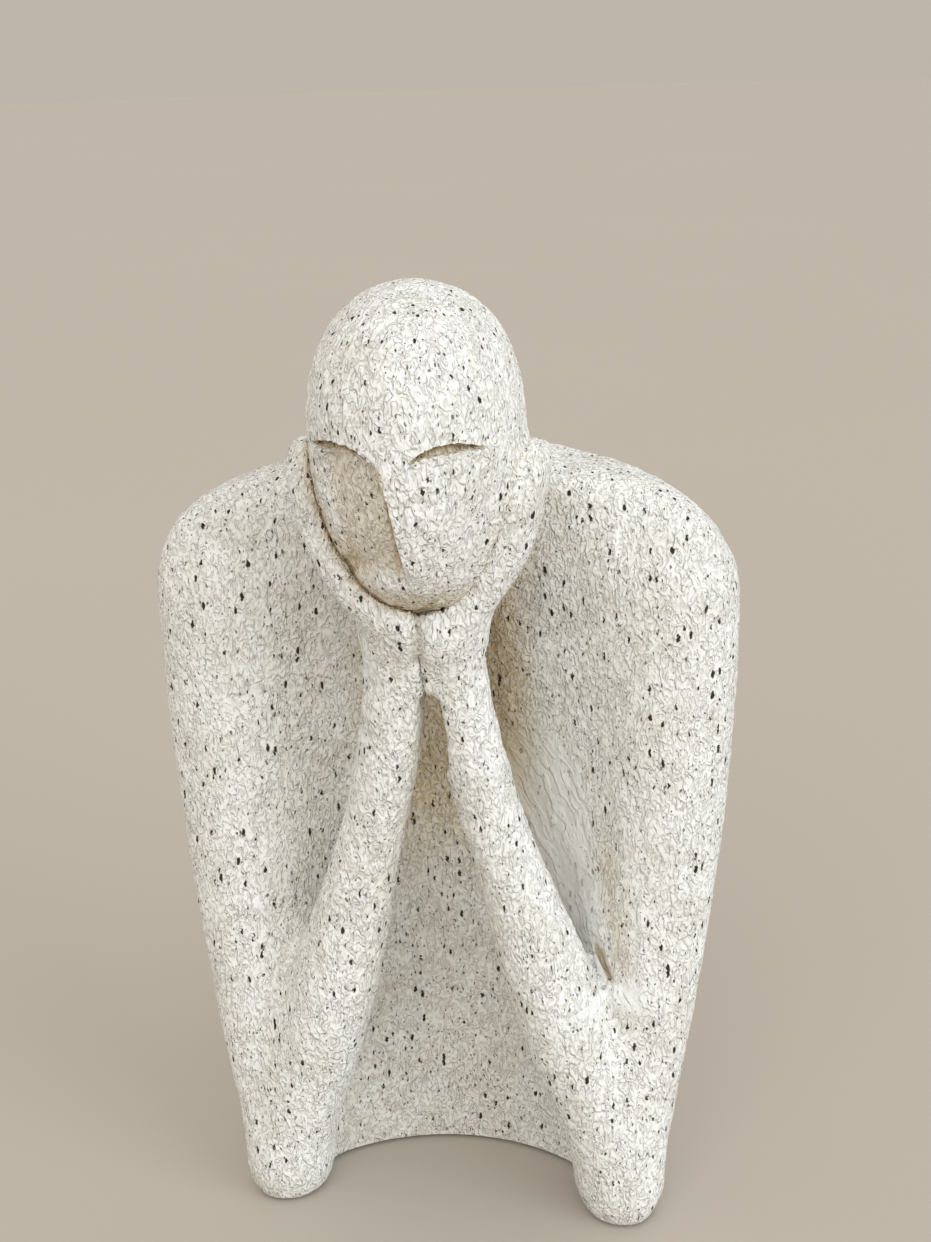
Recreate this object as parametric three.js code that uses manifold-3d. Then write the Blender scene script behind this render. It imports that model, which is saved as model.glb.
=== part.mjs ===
// Cast resin figurine: a seated thinker without legs, whose cloak is an open-fronted shell that
// stands on the two elbows and on the curved foot of the back. The forearms rise from the elbows,
// the wrists touch, and the hands hold the head at the cheeks and under the chin.
//
// Lengths are in millimetres and angles in degrees. +Z is up, the face looks towards -Y and +X is
// the figure's left. Until the last section, z = 0 is the underside of the resin and y = 0 is the
// line through the two elbows. The finished group stands on z = 0 with its box centred on the origin.

import * as THREE from "three";
import { mergeVertices } from "three/addons/utils/BufferGeometryUtils.js";
import Module from "manifold-3d";

// Joints between the castings
const glueGap = 0.3;
const dowelClearance = 0.3;

// Head: an egg, widest at the temples
const headHalfWidth = 21;
const headHalfDepth = 25;
const crownHeight = 27.9;
const crownFullness = 2.25;
const crownLean = 0.5;
const jawHeight = 37.6;
const templeAboveRoof = 11.1;
const headForward = 9;
const headSide = 0.4;
const headTurn = 3;

// Face: the cheeks lie below the brow, and the nose stays proud between them
const browPeak = 0.1;
const browPeakSide = 9.9;
const browDroop = 0.052;
const cheekDepth = 2.3;
const leftCheekShare = 0.2;
const cheekEnd = 18;
const cheekFoot = 29;
const creaseWidth = 1.6;
const noseEdgeWidth = 1;
const noseHalfWidth = 2;
const noseRoot = 3.1;
const noseOffset = 0.85;
const noseSlant = 0.105;

// Eyes: narrow crescents cut in under the brow
const eyeDepth = 2.6;
const eyeInner = [3.15, -2.4];
const eyeOuter = [16.3, -0.8];
const eyeUpperPull = [[6, 1.2], [12, 2.4]];
const eyeLowerPull = [[12, -0.9], [7, -0.6]];
const rightEyeStretch = 1.14;

// Hands: strips of even thickness over the head
const handThickness = 5.4;
const handHalfWidth = 10.4;
const handTipBelowTemple = 2.6;
const handBack = 7.6;
const palmForward = 6;
const rightHandReach = 2.6;
const handEdge = 4;

// Forearms
const wristX = 5.8;
const wristBelowTemple = 44.9;
const wristForward = 8.5;
const wristRadius = 6.6;
const forearmRadius = 9.9;
const wristBlend = 9;

// Elbows and upper arms
const elbowX = 38;
const elbowBack = 5;
const elbowHeight = 7;
const elbowRadius = 8.2;
const shoulderX = 46.5;
const shoulderBelowRoof = 29.3;
const shoulderBack = 18;
const shoulderRadius = 15.3;
const armpitBlend = 15;
const elbowBlend = 6;
const footBlend = 11;

// Cloak: a wall between two ovals, which leans over the chest
const backCentre = -6;
const footHalfWidth = 40;
const footDepth = 46;
const yokeHalfWidth = 56.5;
const yokeDepth = 53;
const wallGrowth = 1.8;
const backSquareness = 2.9;
const wallEdgeInArm = 4;
const hollowCentre = -16;
const hollowFootHalfWidth = 44;
const hollowFootDepth = 44;
const hollowTopHalfWidth = 36;
const hollowTopDepth = 38;
const stoop = 10;
const stoopFrom = 92;
const roofHeight = 171.3;
const rightRoofFall = 0.0031;
const leftRoofFall = 0.0026;
const roofRound = 7;

// Neck
const napeBelowRoof = 11.3;
const napeBack = 24;
const neckRadius = 14;
const neckBlend = 14;

// Dowels
const neckDowelDiameter = 5;
const neckDowelLength = 26;
const elbowDowelDiameter = 4;
const elbowDowelLength = 24;
const elbowJointShare = 0.34;

// Felt pads under the elbows and under the foot of the back
const padDiameter = 7;
const padThickness = 1.5;
const padPocketDepth = 0.9;
const padClearance = 0.25;
const backPadX = 16;

// Fineness of the surfaces
const bodyCell = 5.3;
const armCell = 3.05;
const headColumns = 44;
const headRows = 32;
const limbSteps = 18;

// Heights that follow from the top of the shoulders
const templeHeight = roofHeight + templeAboveRoof;
const wristHeight = templeHeight - wristBelowTemple;
const shoulderHeight = roofHeight - shoulderBelowRoof;
const napeHeight = roofHeight - napeBelowRoof;

const { clamp, lerp, smoothstep, degToRad } = THREE.MathUtils;
const wasm = await Module();
wasm.setup();

// Soft joins of two distances, over a width k

const softMin = (a, b, k) => {
  const share = Math.max(k - Math.abs(a - b), 0) / k;
  return Math.min(a, b) - (share * share * k) / 4;
};
const softMax = (a, b, k) => -softMin(-a, -b, k);

// Limbs: a chain of tapered rods along a curve

function limb(curve, radiusAt) {
  const points = curve.getPoints(limbSteps);
  const radii = points.map((_, i) => radiusAt(i / limbSteps));
  return (x, y, z) => {
    let nearest = Infinity;
    for (let i = 0; i < limbSteps; i++) {
      const a = points[i];
      const b = points[i + 1];
      const [ex, ey, ez] = [b.x - a.x, b.y - a.y, b.z - a.z];
      const along = (x - a.x) * ex + (y - a.y) * ey + (z - a.z) * ez;
      const t = clamp(along / (ex * ex + ey * ey + ez * ez), 0, 1);
      const away = Math.hypot(x - a.x - t * ex, y - a.y - t * ey, z - a.z - t * ez);
      nearest = Math.min(nearest, away - lerp(radii[i], radii[i + 1], t));
    }
    return nearest;
  };
}

// Distance to an oval of the given half-axes. A power of 2 gives an ellipse, more a squarer form.
function oval(point, halves, power = 2) {
  const shares = point.map((p, i) => Math.abs(p) / halves[i]);
  const reach = Math.max(shares.reduce((sum, s) => sum + s ** power, 0) ** (1 / power), 1e-6);
  const slope = Math.hypot(...shares.map((s, i) => (s / reach) ** (power - 1) / halves[i]));
  return (reach - 1) / slope;
}

// Head

const headCentre = new THREE.Vector3(headSide, -headForward, templeHeight);
const turn = degToRad(headTurn);

// A point in the head's own turned frame, measured from its centre.
function inHead(x, y, z) {
  const [dx, dy] = [x - headCentre.x, y - headCentre.y];
  return [
    dx * Math.cos(turn) - dy * Math.sin(turn),
    dx * Math.sin(turn) + dy * Math.cos(turn),
    z - headCentre.z,
  ];
}

const headHeightOn = (up) => (up > 0 ? crownHeight : jawHeight);

// Distance to the egg, without its face.
function eggForm(x, y, z) {
  const point = inHead(x, y, z);
  return oval(point, [headHalfWidth, headHalfDepth, headHeightOn(point[2])]);
}

// How far the face lies inside the egg.
function faceDepth(u, v, w) {
  if (v > 0) return 0;
  const side = u - noseOffset + noseSlant * Math.min(w - eyeInner[1], 0);
  const away = Math.abs(side);
  const brow = browPeak - browDroop * (away - browPeakSide) ** 2;
  const underBrow = smoothstep(brow - w, 0, creaseWidth);
  const nose = noseHalfWidth + (noseRoot - noseHalfWidth) * (1 - smoothstep(brow - w, 0, 5 * creaseWidth));
  const besideNose = smoothstep(away, nose - noseEdgeWidth / 2, nose + noseEdgeWidth / 2);
  const towardsEar = 1 - smoothstep(away, cheekEnd * 0.7, cheekEnd);
  const towardsChin = 1 - smoothstep(-w, cheekFoot * 0.85, cheekFoot);
  const depth = cheekDepth * (side > 0 ? leftCheekShare : 1);
  return depth * underBrow * besideNose * towardsEar * towardsChin;
}

// A sphere's directions, drawn out to the egg and placed. They crowd towards the brow.
function headGeometry(offset, columns, rows, withFace) {
  const geometry = new THREE.SphereGeometry(1, columns, rows);
  const at = geometry.attributes.position;
  for (let i = 0; i < at.count; i++) {
    const bearing = Math.atan2(at.getX(i), at.getZ(i));
    const drop = Math.acos(clamp(at.getY(i), -1, 1));
    const [b, d] = [bearing - 0.34 * Math.sin(bearing), drop + 0.26 * Math.sin(2 * drop)];
    const [round, up] = [Math.sin(d), Math.cos(d)];
    const fullness = up > 0 ? crownFullness : 2;
    const out = (round ** fullness + Math.abs(up) ** fullness) ** (-1 / fullness);
    const egg = new THREE.Vector3(
      out * round * Math.sin(b) * (headHalfWidth + offset) - crownLean * Math.max(up, 0) ** 2,
      -out * round * Math.cos(b) * (headHalfDepth + offset),
      out * up * (headHeightOn(up) + offset),
    );
    if (withFace) egg.multiplyScalar(1 - faceDepth(...egg.toArray()) / egg.length());
    at.setXYZ(i, ...egg.toArray());
  }
  return placedOnHead(geometry);
}

const placedOnHead = (geometry) => geometry.rotateZ(-turn).translate(...headCentre.toArray());

// A crescent cut straight back into one side of the face.
function eyeGeometry(side) {
  const stretch = side < 0 ? rightEyeStretch : 1;
  const across = ([u, w]) => [noseOffset + side * stretch * u, w];
  const outline = new THREE.Shape();
  outline.moveTo(...across(eyeInner));
  outline.bezierCurveTo(...eyeUpperPull.flatMap(across), ...across(eyeOuter));
  outline.bezierCurveTo(...eyeLowerPull.flatMap(across), ...across(eyeInner));
  const cut = new THREE.ExtrudeGeometry(outline, {
    depth: 2 * headHalfDepth,
    bevelEnabled: false,
    curveSegments: 8,
  });
  return placedOnHead(cut.rotateX(Math.PI / 2));
}

// Arms

const elbow = new THREE.Vector3(elbowX, elbowBack, elbowHeight);
const wrist = new THREE.Vector3(wristX, -wristForward, wristHeight);
const shoulder = new THREE.Vector3(shoulderX, shoulderBack, shoulderHeight);

// A curve between two points. Each pull gives a share of the way across, back and up.
function bend(from, to, ...pulls) {
  const [a, b] = pulls.map(
    ([x, y, z]) => new THREE.Vector3(lerp(from.x, to.x, x), lerp(from.y, to.y, y), lerp(from.z, to.z, z)),
  );
  return new THREE.CubicBezierCurve3(from, a, b, to);
}

const forearmCurve = bend(elbow, wrist, [0.31, 0.24, 0.323], [1, 0.61, 0.77]);
const forearmRadiusAt = (t) =>
  lerp(lerp(elbowRadius, forearmRadius, smoothstep(t, 0, 0.3)), wristRadius, smoothstep(t, 0.3, 0.66));
const forearm = limb(forearmCurve, forearmRadiusAt);
const upperArmCurve = bend(elbow, shoulder, [0.72, 0.2, 0.3], [1.45, 0.6, 0.613]);
const upperArm = limb(upperArmCurve, (t) => lerp(elbowRadius, shoulderRadius, t * t));

// Distance to the outline of a hand seen from the side, a strip with round ends.
const handTip = templeHeight - handTipBelowTemple;
function handOutline(y, z, side) {
  const [low, high] = [wristHeight + handHalfWidth * 0.7, handTip - handHalfWidth];
  const t = clamp((z - low) / (high - low), 0, 1);
  const reach = palmForward + (side < 0 ? rightHandReach : 0);
  return Math.hypot(y + lerp(reach, handBack, t), z - lerp(low, high, t)) - handHalfWidth;
}

function handForm(x, y, z, side) {
  return softMax(eggForm(x, y, z) - handThickness, handOutline(y, z, side), handEdge);
}

// One forearm with its hand, which runs on past the middle, where it is cut later.
const armForm = (side) => (x, y, z) => {
  const arm = softMin(forearm(side * x, y, z), handForm(x, y, z, side), wristBlend);
  return Math.max(arm, -side * x - wristRadius / 2);
};

// Cloak, neck and upper arms

function cloakForm(x, y, z) {
  const share = clamp(z / shoulderHeight, 0, 1);
  const grown = 1 - (1 - share) ** wallGrowth;
  const upright = y + stoop * smoothstep(z, stoopFrom, roofHeight);
  const outside = oval(
    [x, upright - backCentre],
    [lerp(footHalfWidth, yokeHalfWidth, grown), lerp(footDepth, yokeDepth, grown)],
    backSquareness,
  );
  const hollow = oval(
    [x, upright - hollowCentre],
    [lerp(hollowFootHalfWidth, hollowTopHalfWidth, share), lerp(hollowFootDepth, hollowTopDepth, share)],
  );
  const inFront = lerp(elbowBack - wallEdgeInArm, shoulderBack, share) - upright;
  return softMax(softMax(outside, -hollow, elbowBlend), inFront, elbowBlend);
}

const neckCurve = new THREE.LineCurve3(
  new THREE.Vector3(0, napeBack, napeHeight),
  new THREE.Vector3(0, -headForward + headHalfDepth * 0.4, lerp(napeHeight, templeHeight, 0.85)),
);
const neck = limb(neckCurve, () => neckRadius);

const elbowJoint = forearmCurve.getPoint(elbowJointShare);
const elbowAxis = forearmCurve.getTangent(elbowJointShare);

// How far a point lies past the joint, along the forearm.
const pastJoint = (x, y, z) => new THREE.Vector3(x, y, z).sub(elbowJoint).dot(elbowAxis);

function bodyForm(x, y, z) {
  const side = Math.abs(x);
  const share = clamp(z / shoulderHeight, 0, 1);
  const cloak = softMin(cloakForm(x, y, z), upperArm(side, y, z), lerp(footBlend, armpitBlend, share));
  const roofFall = x > 0 ? leftRoofFall : rightRoofFall;
  const roof = (z - roofHeight + roofFall * x * x) / Math.hypot(1, 2 * roofFall * x);
  const shoulders = softMax(cloak, roof, roofRound);
  const past = pastJoint(side, y, z);
  const stub = Math.max(forearm(side, y, z), past - forearmRadius / 2);
  const web = lerp(elbowBlend, creaseWidth, smoothstep(past, -2 * forearmRadius, -forearmRadius / 2));
  const withElbows = softMin(shoulders, stub, web);
  return softMin(withElbows, neck(x, y, z), neckBlend);
}

// Surface of a form: one point for each cell that it crosses, drawn onto it, and a square across
// each grid edge that it cuts.
function skin(form, low, high, cell) {
  const size = [0, 1, 2].map((k) => Math.ceil((high[k] - low[k]) / cell) + 1);
  const at = (i, j, k) => [low[0] + i * cell, low[1] + j * cell, low[2] + k * cell];
  const index = (i, j, k) => i + size[0] * (j + size[1] * k);
  const value = new Float64Array(size[0] * size[1] * size[2]);
  const eachCell = (visit) => {
    for (let k = 0; k < size[2]; k++)
      for (let j = 0; j < size[1]; j++) for (let i = 0; i < size[0]; i++) visit(i, j, k);
  };
  eachCell((i, j, k) => {
    value[index(i, j, k)] = form(...at(i, j, k));
  });

  const corners = [0, 1, 2, 3, 4, 5, 6, 7].map((c) => [c & 1, (c >> 1) & 1, c >> 2]);
  const edges = corners.flatMap((a, c) =>
    [1, 2, 4].filter((bit) => !(c & bit)).map((bit) => [c, c | bit]),
  );
  const pointOf = new Int32Array(value.length).fill(-1);
  const points = [];
  eachCell((i, j, k) => {
    if (i + 1 >= size[0] || j + 1 >= size[1] || k + 1 >= size[2]) return;
    const f = corners.map(([a, b, c]) => value[index(i + a, j + b, k + c)]);
    const middle = new THREE.Vector3();
    let cuts = 0;
    for (const [a, b] of edges) {
      if (f[a] < 0 === f[b] < 0) continue;
      const t = f[a] / (f[a] - f[b]);
      middle.x += lerp(corners[a][0], corners[b][0], t);
      middle.y += lerp(corners[a][1], corners[b][1], t);
      middle.z += lerp(corners[a][2], corners[b][2], t);
      cuts++;
    }
    if (!cuts) return;
    middle.divideScalar(cuts);
    pointOf[index(i, j, k)] = points.length / 3;
    points.push(...onto(form, at(i + middle.x, j + middle.y, k + middle.z), cell / 2));
  });

  const faces = [];
  const steps = [[1, 0, 0], [0, 1, 0], [0, 0, 1]];
  eachCell((i, j, k) => {
    steps.forEach((step, axis) => {
      const [da, db] = [steps[(axis + 1) % 3], steps[(axis + 2) % 3]];
      const next = [i + step[0], j + step[1], k + step[2]];
      if (next.some((n, m) => n >= size[m])) return;
      const inside = value[index(i, j, k)] < 0;
      if (inside === value[index(...next)] < 0) return;
      const around = [[0, 0], [1, 0], [1, 1], [0, 1]].map(([a, b]) =>
        pointOf[index(i - a * da[0] - b * db[0], j - a * da[1] - b * db[1], k - a * da[2] - b * db[2])],
      );
      const [p, q, r, s] = inside ? around : around.reverse();
      const span = (m, n) =>
        Math.hypot(...[0, 1, 2].map((c) => points[3 * m + c] - points[3 * n + c]));
      faces.push(...(span(p, r) < span(q, s) ? [p, q, r, p, r, s] : [q, r, s, q, s, p]));
    });
  });
  const geometry = new THREE.BufferGeometry();
  geometry.setAttribute("position", new THREE.Float32BufferAttribute(points, 3));
  geometry.setIndex(faces);
  return geometry;
}

// The point moved down the form's slope until it lies on the surface, within a limit.
function onto(form, start, limit) {
  const probe = 0.02;
  let [x, y, z] = start;
  for (let pass = 0; pass < 4; pass++) {
    const f = form(x, y, z);
    const g = [
      (form(x + probe, y, z) - f) / probe,
      (form(x, y + probe, z) - f) / probe,
      (form(x, y, z + probe) - f) / probe,
    ];
    const steep = Math.max(g[0] ** 2 + g[1] ** 2 + g[2] ** 2, 0.05);
    [x, y, z] = [x - (f * g[0]) / steep, y - (f * g[1]) / steep, z - (f * g[2]) / steep];
  }
  const moved = [x, y, z];
  const far = Math.hypot(...moved.map((v, c) => v - start[c]));
  const share = Math.min(1, limit / Math.max(far, 1e-9));
  return moved.map((v, c) => lerp(start[c], v, share));
}

// Solids, cuts and meshes

function solidOf(geometry) {
  const bare = new THREE.BufferGeometry().setAttribute("position", geometry.getAttribute("position"));
  if (geometry.index) bare.setIndex(geometry.index);
  const merged = mergeVertices(bare, 1e-4);
  const mesh = new wasm.Mesh({
    numProp: 3,
    vertProperties: merged.attributes.position.array,
    triVerts: new Uint32Array(merged.index.array),
  });
  return new wasm.Manifold(mesh);
}

function geometryOf(solid) {
  const mesh = solid.getMesh();
  const geometry = new THREE.BufferGeometry();
  geometry.setAttribute("position", new THREE.Float32BufferAttribute(mesh.vertProperties, 3));
  geometry.setIndex(new THREE.BufferAttribute(mesh.triVerts, 1));
  return geometry;
}

// A rod between two points.
function rod(from, to, radius, sides = 20) {
  const along = new THREE.Vector3().subVectors(to, from);
  const geometry = new THREE.CylinderGeometry(radius, radius, along.length(), sides);
  geometry.applyQuaternion(
    new THREE.Quaternion().setFromUnitVectors(new THREE.Vector3(0, 1, 0), along.clone().normalize()),
  );
  geometry.translate(...from.clone().addScaledVector(along, 0.5).toArray());
  return geometry;
}

const sideways = (point, side) => new THREE.Vector3(point.x * side, point.y, point.z);
const along = (point, axis, distance) => point.clone().addScaledVector(axis, distance);

// A dowel centred on a joint, and the wider, longer hole that takes it.
function dowelAt(joint, axis, diameter, length, clearance = 0) {
  const half = length / 2 + clearance;
  return rod(along(joint, axis, -half), along(joint, axis, half), diameter / 2 + clearance);
}

const neckJoint = new THREE.Vector3(0, -headForward + headHalfDepth * 0.82, lerp(napeHeight, templeHeight, 0.5));
const neckAxis = new THREE.Vector3().subVectors(neckJoint, neckCurve.v1).normalize();
const neckHole = solidOf(dowelAt(neckJoint, neckAxis, neckDowelDiameter, neckDowelLength, dowelClearance));
const mirrored = (axis, side) => new THREE.Vector3(axis.x * side, axis.y, axis.z);
const elbowHole = (side) =>
  solidOf(
    dowelAt(sideways(elbowJoint, side), mirrored(elbowAxis, side), elbowDowelDiameter, elbowDowelLength, dowelClearance),
  );

// Pads

const hollowAtPad = hollowCentre + hollowFootDepth * Math.sqrt(1 - (backPadX / hollowFootHalfWidth) ** 2);
const outsideAtPad =
  backCentre + footDepth * (1 - (backPadX / footHalfWidth) ** backSquareness) ** (1 / backSquareness);
const backPadY = (hollowAtPad + outsideAtPad) / 2;
const padPlaces = {
  right_elbow_pad: [-elbowX, elbowBack],
  left_elbow_pad: [elbowX, elbowBack],
  right_back_pad: [-backPadX, backPadY],
  left_back_pad: [backPadX, backPadY],
};

function padAt([x, y], clearance = 0) {
  const top = new THREE.Vector3(x, y, padPocketDepth - padClearance + clearance);
  const bottom = new THREE.Vector3(x, y, padPocketDepth - padClearance - padThickness - clearance);
  return rod(bottom, top, padDiameter / 2 + clearance, 24);
}

// Castings

const margin = 3 * bodyCell;
const bodyReach = shoulderX + shoulderRadius + margin;
const bodyLow = [-bodyReach, -headForward - neckRadius - margin, -margin];
const bodyHigh = [bodyReach, backCentre + yokeDepth + margin, templeHeight + neckRadius + margin];
const big = 3 * roofHeight;

function bodyCasting() {
  const table = new THREE.BoxGeometry(big, big, big).translate(0, 0, -big / 2);
  let solid = solidOf(skin(bodyForm, bodyLow, bodyHigh, bodyCell));
  solid = solid.subtract(solidOf(table));
  solid = solid.subtract(solidOf(headGeometry(glueGap, headColumns, headRows, false)));
  solid = solid.subtract(neckHole);
  for (const side of [-1, 1]) {
    const joint = sideways(elbowJoint, side);
    const axis = mirrored(elbowAxis, side);
    const seatRadius = forearmRadiusAt(elbowJointShare) + glueGap;
    const seat = rod(joint, along(joint, axis, 3 * forearmRadius), seatRadius, 40);
    solid = solid.subtract(solidOf(seat)).subtract(elbowHole(side));
  }
  for (const place of Object.values(padPlaces)) solid = solid.subtract(solidOf(padAt(place, padClearance)));
  return solid;
}

function headCasting() {
  const core = solidOf(headGeometry(-eyeDepth, headColumns, headRows, false));
  let solid = solidOf(headGeometry(0, headColumns, headRows, true)).subtract(neckHole);
  for (const side of [-1, 1]) solid = solid.subtract(solidOf(eyeGeometry(side)).subtract(core));
  return solid;
}

function forearmCasting(side) {
  const outer = elbowX + forearmRadius + 2 * armCell;
  const inner = wristRadius + 2 * armCell;
  const low = [side > 0 ? -inner : -outer, -headForward - headHalfDepth, elbowHeight - 2 * forearmRadius];
  const high = [side > 0 ? outer : inner, elbowBack + forearmRadius + 2 * armCell, handTip + 2 * armCell];
  const joint = sideways(elbowJoint, side);
  const axis = mirrored(elbowAxis, side);
  const middle = new THREE.BoxGeometry(big, big, big).translate((-side * (big - glueGap)) / 2, 0, 0);
  const below = rod(along(joint, axis, -big), along(joint, axis, glueGap), big / 2, 8);
  return solidOf(skin(armForm(side), low, high, armCell))
    .subtract(solidOf(middle))
    .subtract(solidOf(below))
    .subtract(solidOf(headGeometry(glueGap, headColumns, headRows, false)))
    .subtract(elbowHole(side));
}

// Materials and the finished group

const resin = new THREE.MeshStandardMaterial({ name: "textured_resin", color: 0xe6e2d9, roughness: 0.85 });
const steel = new THREE.MeshStandardMaterial({ name: "steel_wire", color: 0x8d8f92, roughness: 0.4, metalness: 1 });
const felt = new THREE.MeshStandardMaterial({ name: "felt", color: 0xd9d2c4, roughness: 1 });

const figurine = new THREE.Group();

function addPiece(name, geometry, material) {
  const mesh = new THREE.Mesh(geometry, material);
  mesh.name = name;
  figurine.add(mesh);
}

addPiece("body_casting", geometryOf(bodyCasting()), resin);
addPiece("head_casting", geometryOf(headCasting()), resin);
addPiece("right_forearm_casting", geometryOf(forearmCasting(-1)), resin);
addPiece("left_forearm_casting", geometryOf(forearmCasting(1)), resin);
addPiece("neck_dowel", dowelAt(neckJoint, neckAxis, neckDowelDiameter, neckDowelLength), steel);
for (const [name, side] of [["right_elbow_dowel", -1], ["left_elbow_dowel", 1]]) {
  const joint = sideways(elbowJoint, side);
  addPiece(name, dowelAt(joint, mirrored(elbowAxis, side), elbowDowelDiameter, elbowDowelLength), steel);
}
for (const [name, place] of Object.entries(padPlaces)) addPiece(name, padAt(place), felt);

const box = new THREE.Box3().setFromObject(figurine);
const middle = box.getCenter(new THREE.Vector3());
figurine.position.set(-middle.x, -middle.y, -box.min.z);

export default figurine;
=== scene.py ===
"""Looks of the resin thinker figurine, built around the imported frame.

Each casting is remeshed finely from its frame node, or shaped from a ball in the head's case, and
drawn onto the figurine's own smooth forms. The wrinkled coat is then laid over all of them from one
pattern, so it runs on across the joints. Forms are worked out in millimetres in the figurine's
modelling frame, where z = 0 is the underside of the resin and x = 0 is the middle of the body.
"""

import logging
import math
from collections.abc import Callable
from dataclasses import dataclass, field
from enum import Enum

import bpy
import numpy as np
from mathutils import Matrix, Vector, noise


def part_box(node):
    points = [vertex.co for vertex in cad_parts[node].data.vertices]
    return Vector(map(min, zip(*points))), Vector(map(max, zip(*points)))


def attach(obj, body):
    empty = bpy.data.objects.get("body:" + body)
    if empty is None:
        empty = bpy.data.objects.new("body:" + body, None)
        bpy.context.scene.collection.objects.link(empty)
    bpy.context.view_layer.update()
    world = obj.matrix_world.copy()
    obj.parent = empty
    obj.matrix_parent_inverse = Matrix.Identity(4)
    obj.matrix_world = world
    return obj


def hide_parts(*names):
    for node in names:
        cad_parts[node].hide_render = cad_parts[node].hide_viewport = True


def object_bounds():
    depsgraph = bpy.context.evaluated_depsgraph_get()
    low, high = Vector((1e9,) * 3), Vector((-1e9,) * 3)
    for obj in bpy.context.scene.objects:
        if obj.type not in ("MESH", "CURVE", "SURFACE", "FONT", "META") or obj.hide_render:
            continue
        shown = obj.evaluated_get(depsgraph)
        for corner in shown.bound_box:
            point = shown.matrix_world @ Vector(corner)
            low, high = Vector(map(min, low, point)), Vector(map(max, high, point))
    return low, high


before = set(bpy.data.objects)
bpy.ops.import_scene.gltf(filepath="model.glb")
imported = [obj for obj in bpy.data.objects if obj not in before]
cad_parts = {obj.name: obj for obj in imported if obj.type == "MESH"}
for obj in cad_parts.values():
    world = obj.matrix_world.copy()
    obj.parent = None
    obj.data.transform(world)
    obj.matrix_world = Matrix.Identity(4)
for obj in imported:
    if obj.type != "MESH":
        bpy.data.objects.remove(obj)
cad_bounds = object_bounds()

log = logging.getLogger("figurine")

Array = np.ndarray
Form = Callable[[Array], Array]
Pair = tuple[float, float]
Point = tuple[float, float, float]
Colour = tuple[float, float, float]
Socket = bpy.types.NodeSocket

MM = 0.001
TINY = 1e-6
FAR = 50.0
TUCK = (-0.6, 1.6)
PAD_FOOT = -0.85


# Maths on forms


def mix(low: Array | float, high: Array | float, share: Array | float) -> Array | float:
    """Straight blend from low to high."""
    return low + (high - low) * share


def smoothstep(value: Array | float, low: float, high: float) -> Array:
    """Smooth rise from 0 at low to 1 at high."""
    share = np.clip((value - low) / (high - low), 0.0, 1.0)
    return share * share * (3.0 - 2.0 * share)


def fade(value: Array | float, low: float, high: float) -> Array:
    """Smooth fall from 1 at low to 0 at high."""
    return 1.0 - smoothstep(value, low, high)


def soft_min(a: Array, b: Array, width: Array | float) -> Array:
    """Lower of two distances, rounded where they are within a width of each other."""
    share = np.maximum(width - np.abs(a - b), 0.0) / width
    return np.minimum(a, b) - share * share * width / 4.0


def soft_max(a: Array, b: Array, width: Array | float) -> Array:
    """Higher of two distances, rounded where they are within a width of each other."""
    return -soft_min(-a, -b, width)


def oval(parts: list[Array], halves: list[Array | float], power: float = 2.0) -> Array:
    """Distance to an oval.

    Args:
        parts: Coordinates from its centre, one array for each axis.
        halves: Its half-axes.
        power: 2 for an ellipse, more for a squarer form.

    Returns:
        The distance at each point, negative inside.
    """
    shares = [np.abs(p) / h for p, h in zip(parts, halves)]
    reach = np.maximum(sum(s**power for s in shares) ** (1.0 / power), TINY)
    slope = np.sqrt(sum(((s / reach) ** (power - 1.0) / h) ** 2 for s, h in zip(shares, halves)))
    return (reach - 1.0) / slope


def bezier(ends: tuple[Array, Array], pulls: tuple[Array, Array], steps: int) -> Array:
    """Points of a cubic curve.

    Args:
        ends: Its first and last point.
        pulls: Its two control points.
        steps: Number of stretches.

    Returns:
        One more point than there are stretches.
    """
    t = np.linspace(0.0, 1.0, steps + 1)[:, None]
    s = 1.0 - t
    return s**3 * ends[0] + 3 * s * s * t * pulls[0] + 3 * s * t * t * pulls[1] + t**3 * ends[1]


def drawn_onto(form: Form, points: Array, inside: float, outside: float) -> Array:
    """Points moved down a form's slope until they lie on its surface.

    Args:
        form: Distance to the surface.
        points: Where the points start.
        inside: A point deeper in the form than this stays.
        outside: A point further outside than this stays, and none moves further.

    Returns:
        The moved points.
    """
    probe = 0.02
    rounds = 7
    least_slope = 0.05
    steps = probe * np.eye(3)
    at = points.copy()
    start = form(points)
    hold = fade(np.where(start < 0, -start / inside, start / outside), 0.8, 1.2)
    for _ in range(rounds):
        value = form(at)
        slope = np.stack([(form(at + step) - value) / probe for step in steps], axis=1)
        steep = np.maximum((slope**2).sum(axis=1), least_slope)
        at = at - slope * (value / steep)[:, None]
    moved = at - points
    far = np.maximum(np.linalg.norm(moved, axis=1), TINY * MM)
    return points + moved * (hold * np.minimum(1.0, max(inside, outside) / far))[:, None]


# Forms of the figurine


@dataclass(frozen=True)
class Limb:
    """A chain of tapered rods along a curve."""

    points: Array
    radii: Array

    def distance(self, at: Array) -> Array:
        """Distance to the limb at each point."""
        nearest = np.full(len(at), np.inf)
        for a, b, ra, rb in zip(self.points[:-1], self.points[1:], self.radii[:-1], self.radii[1:]):
            reach = b - a
            t = np.clip((at - a) @ reach / (reach @ reach), 0.0, 1.0)
            away = np.linalg.norm(at - a - t[:, None] * reach, axis=1)
            nearest = np.minimum(nearest, away - mix(ra, rb, t))
        return nearest


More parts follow.
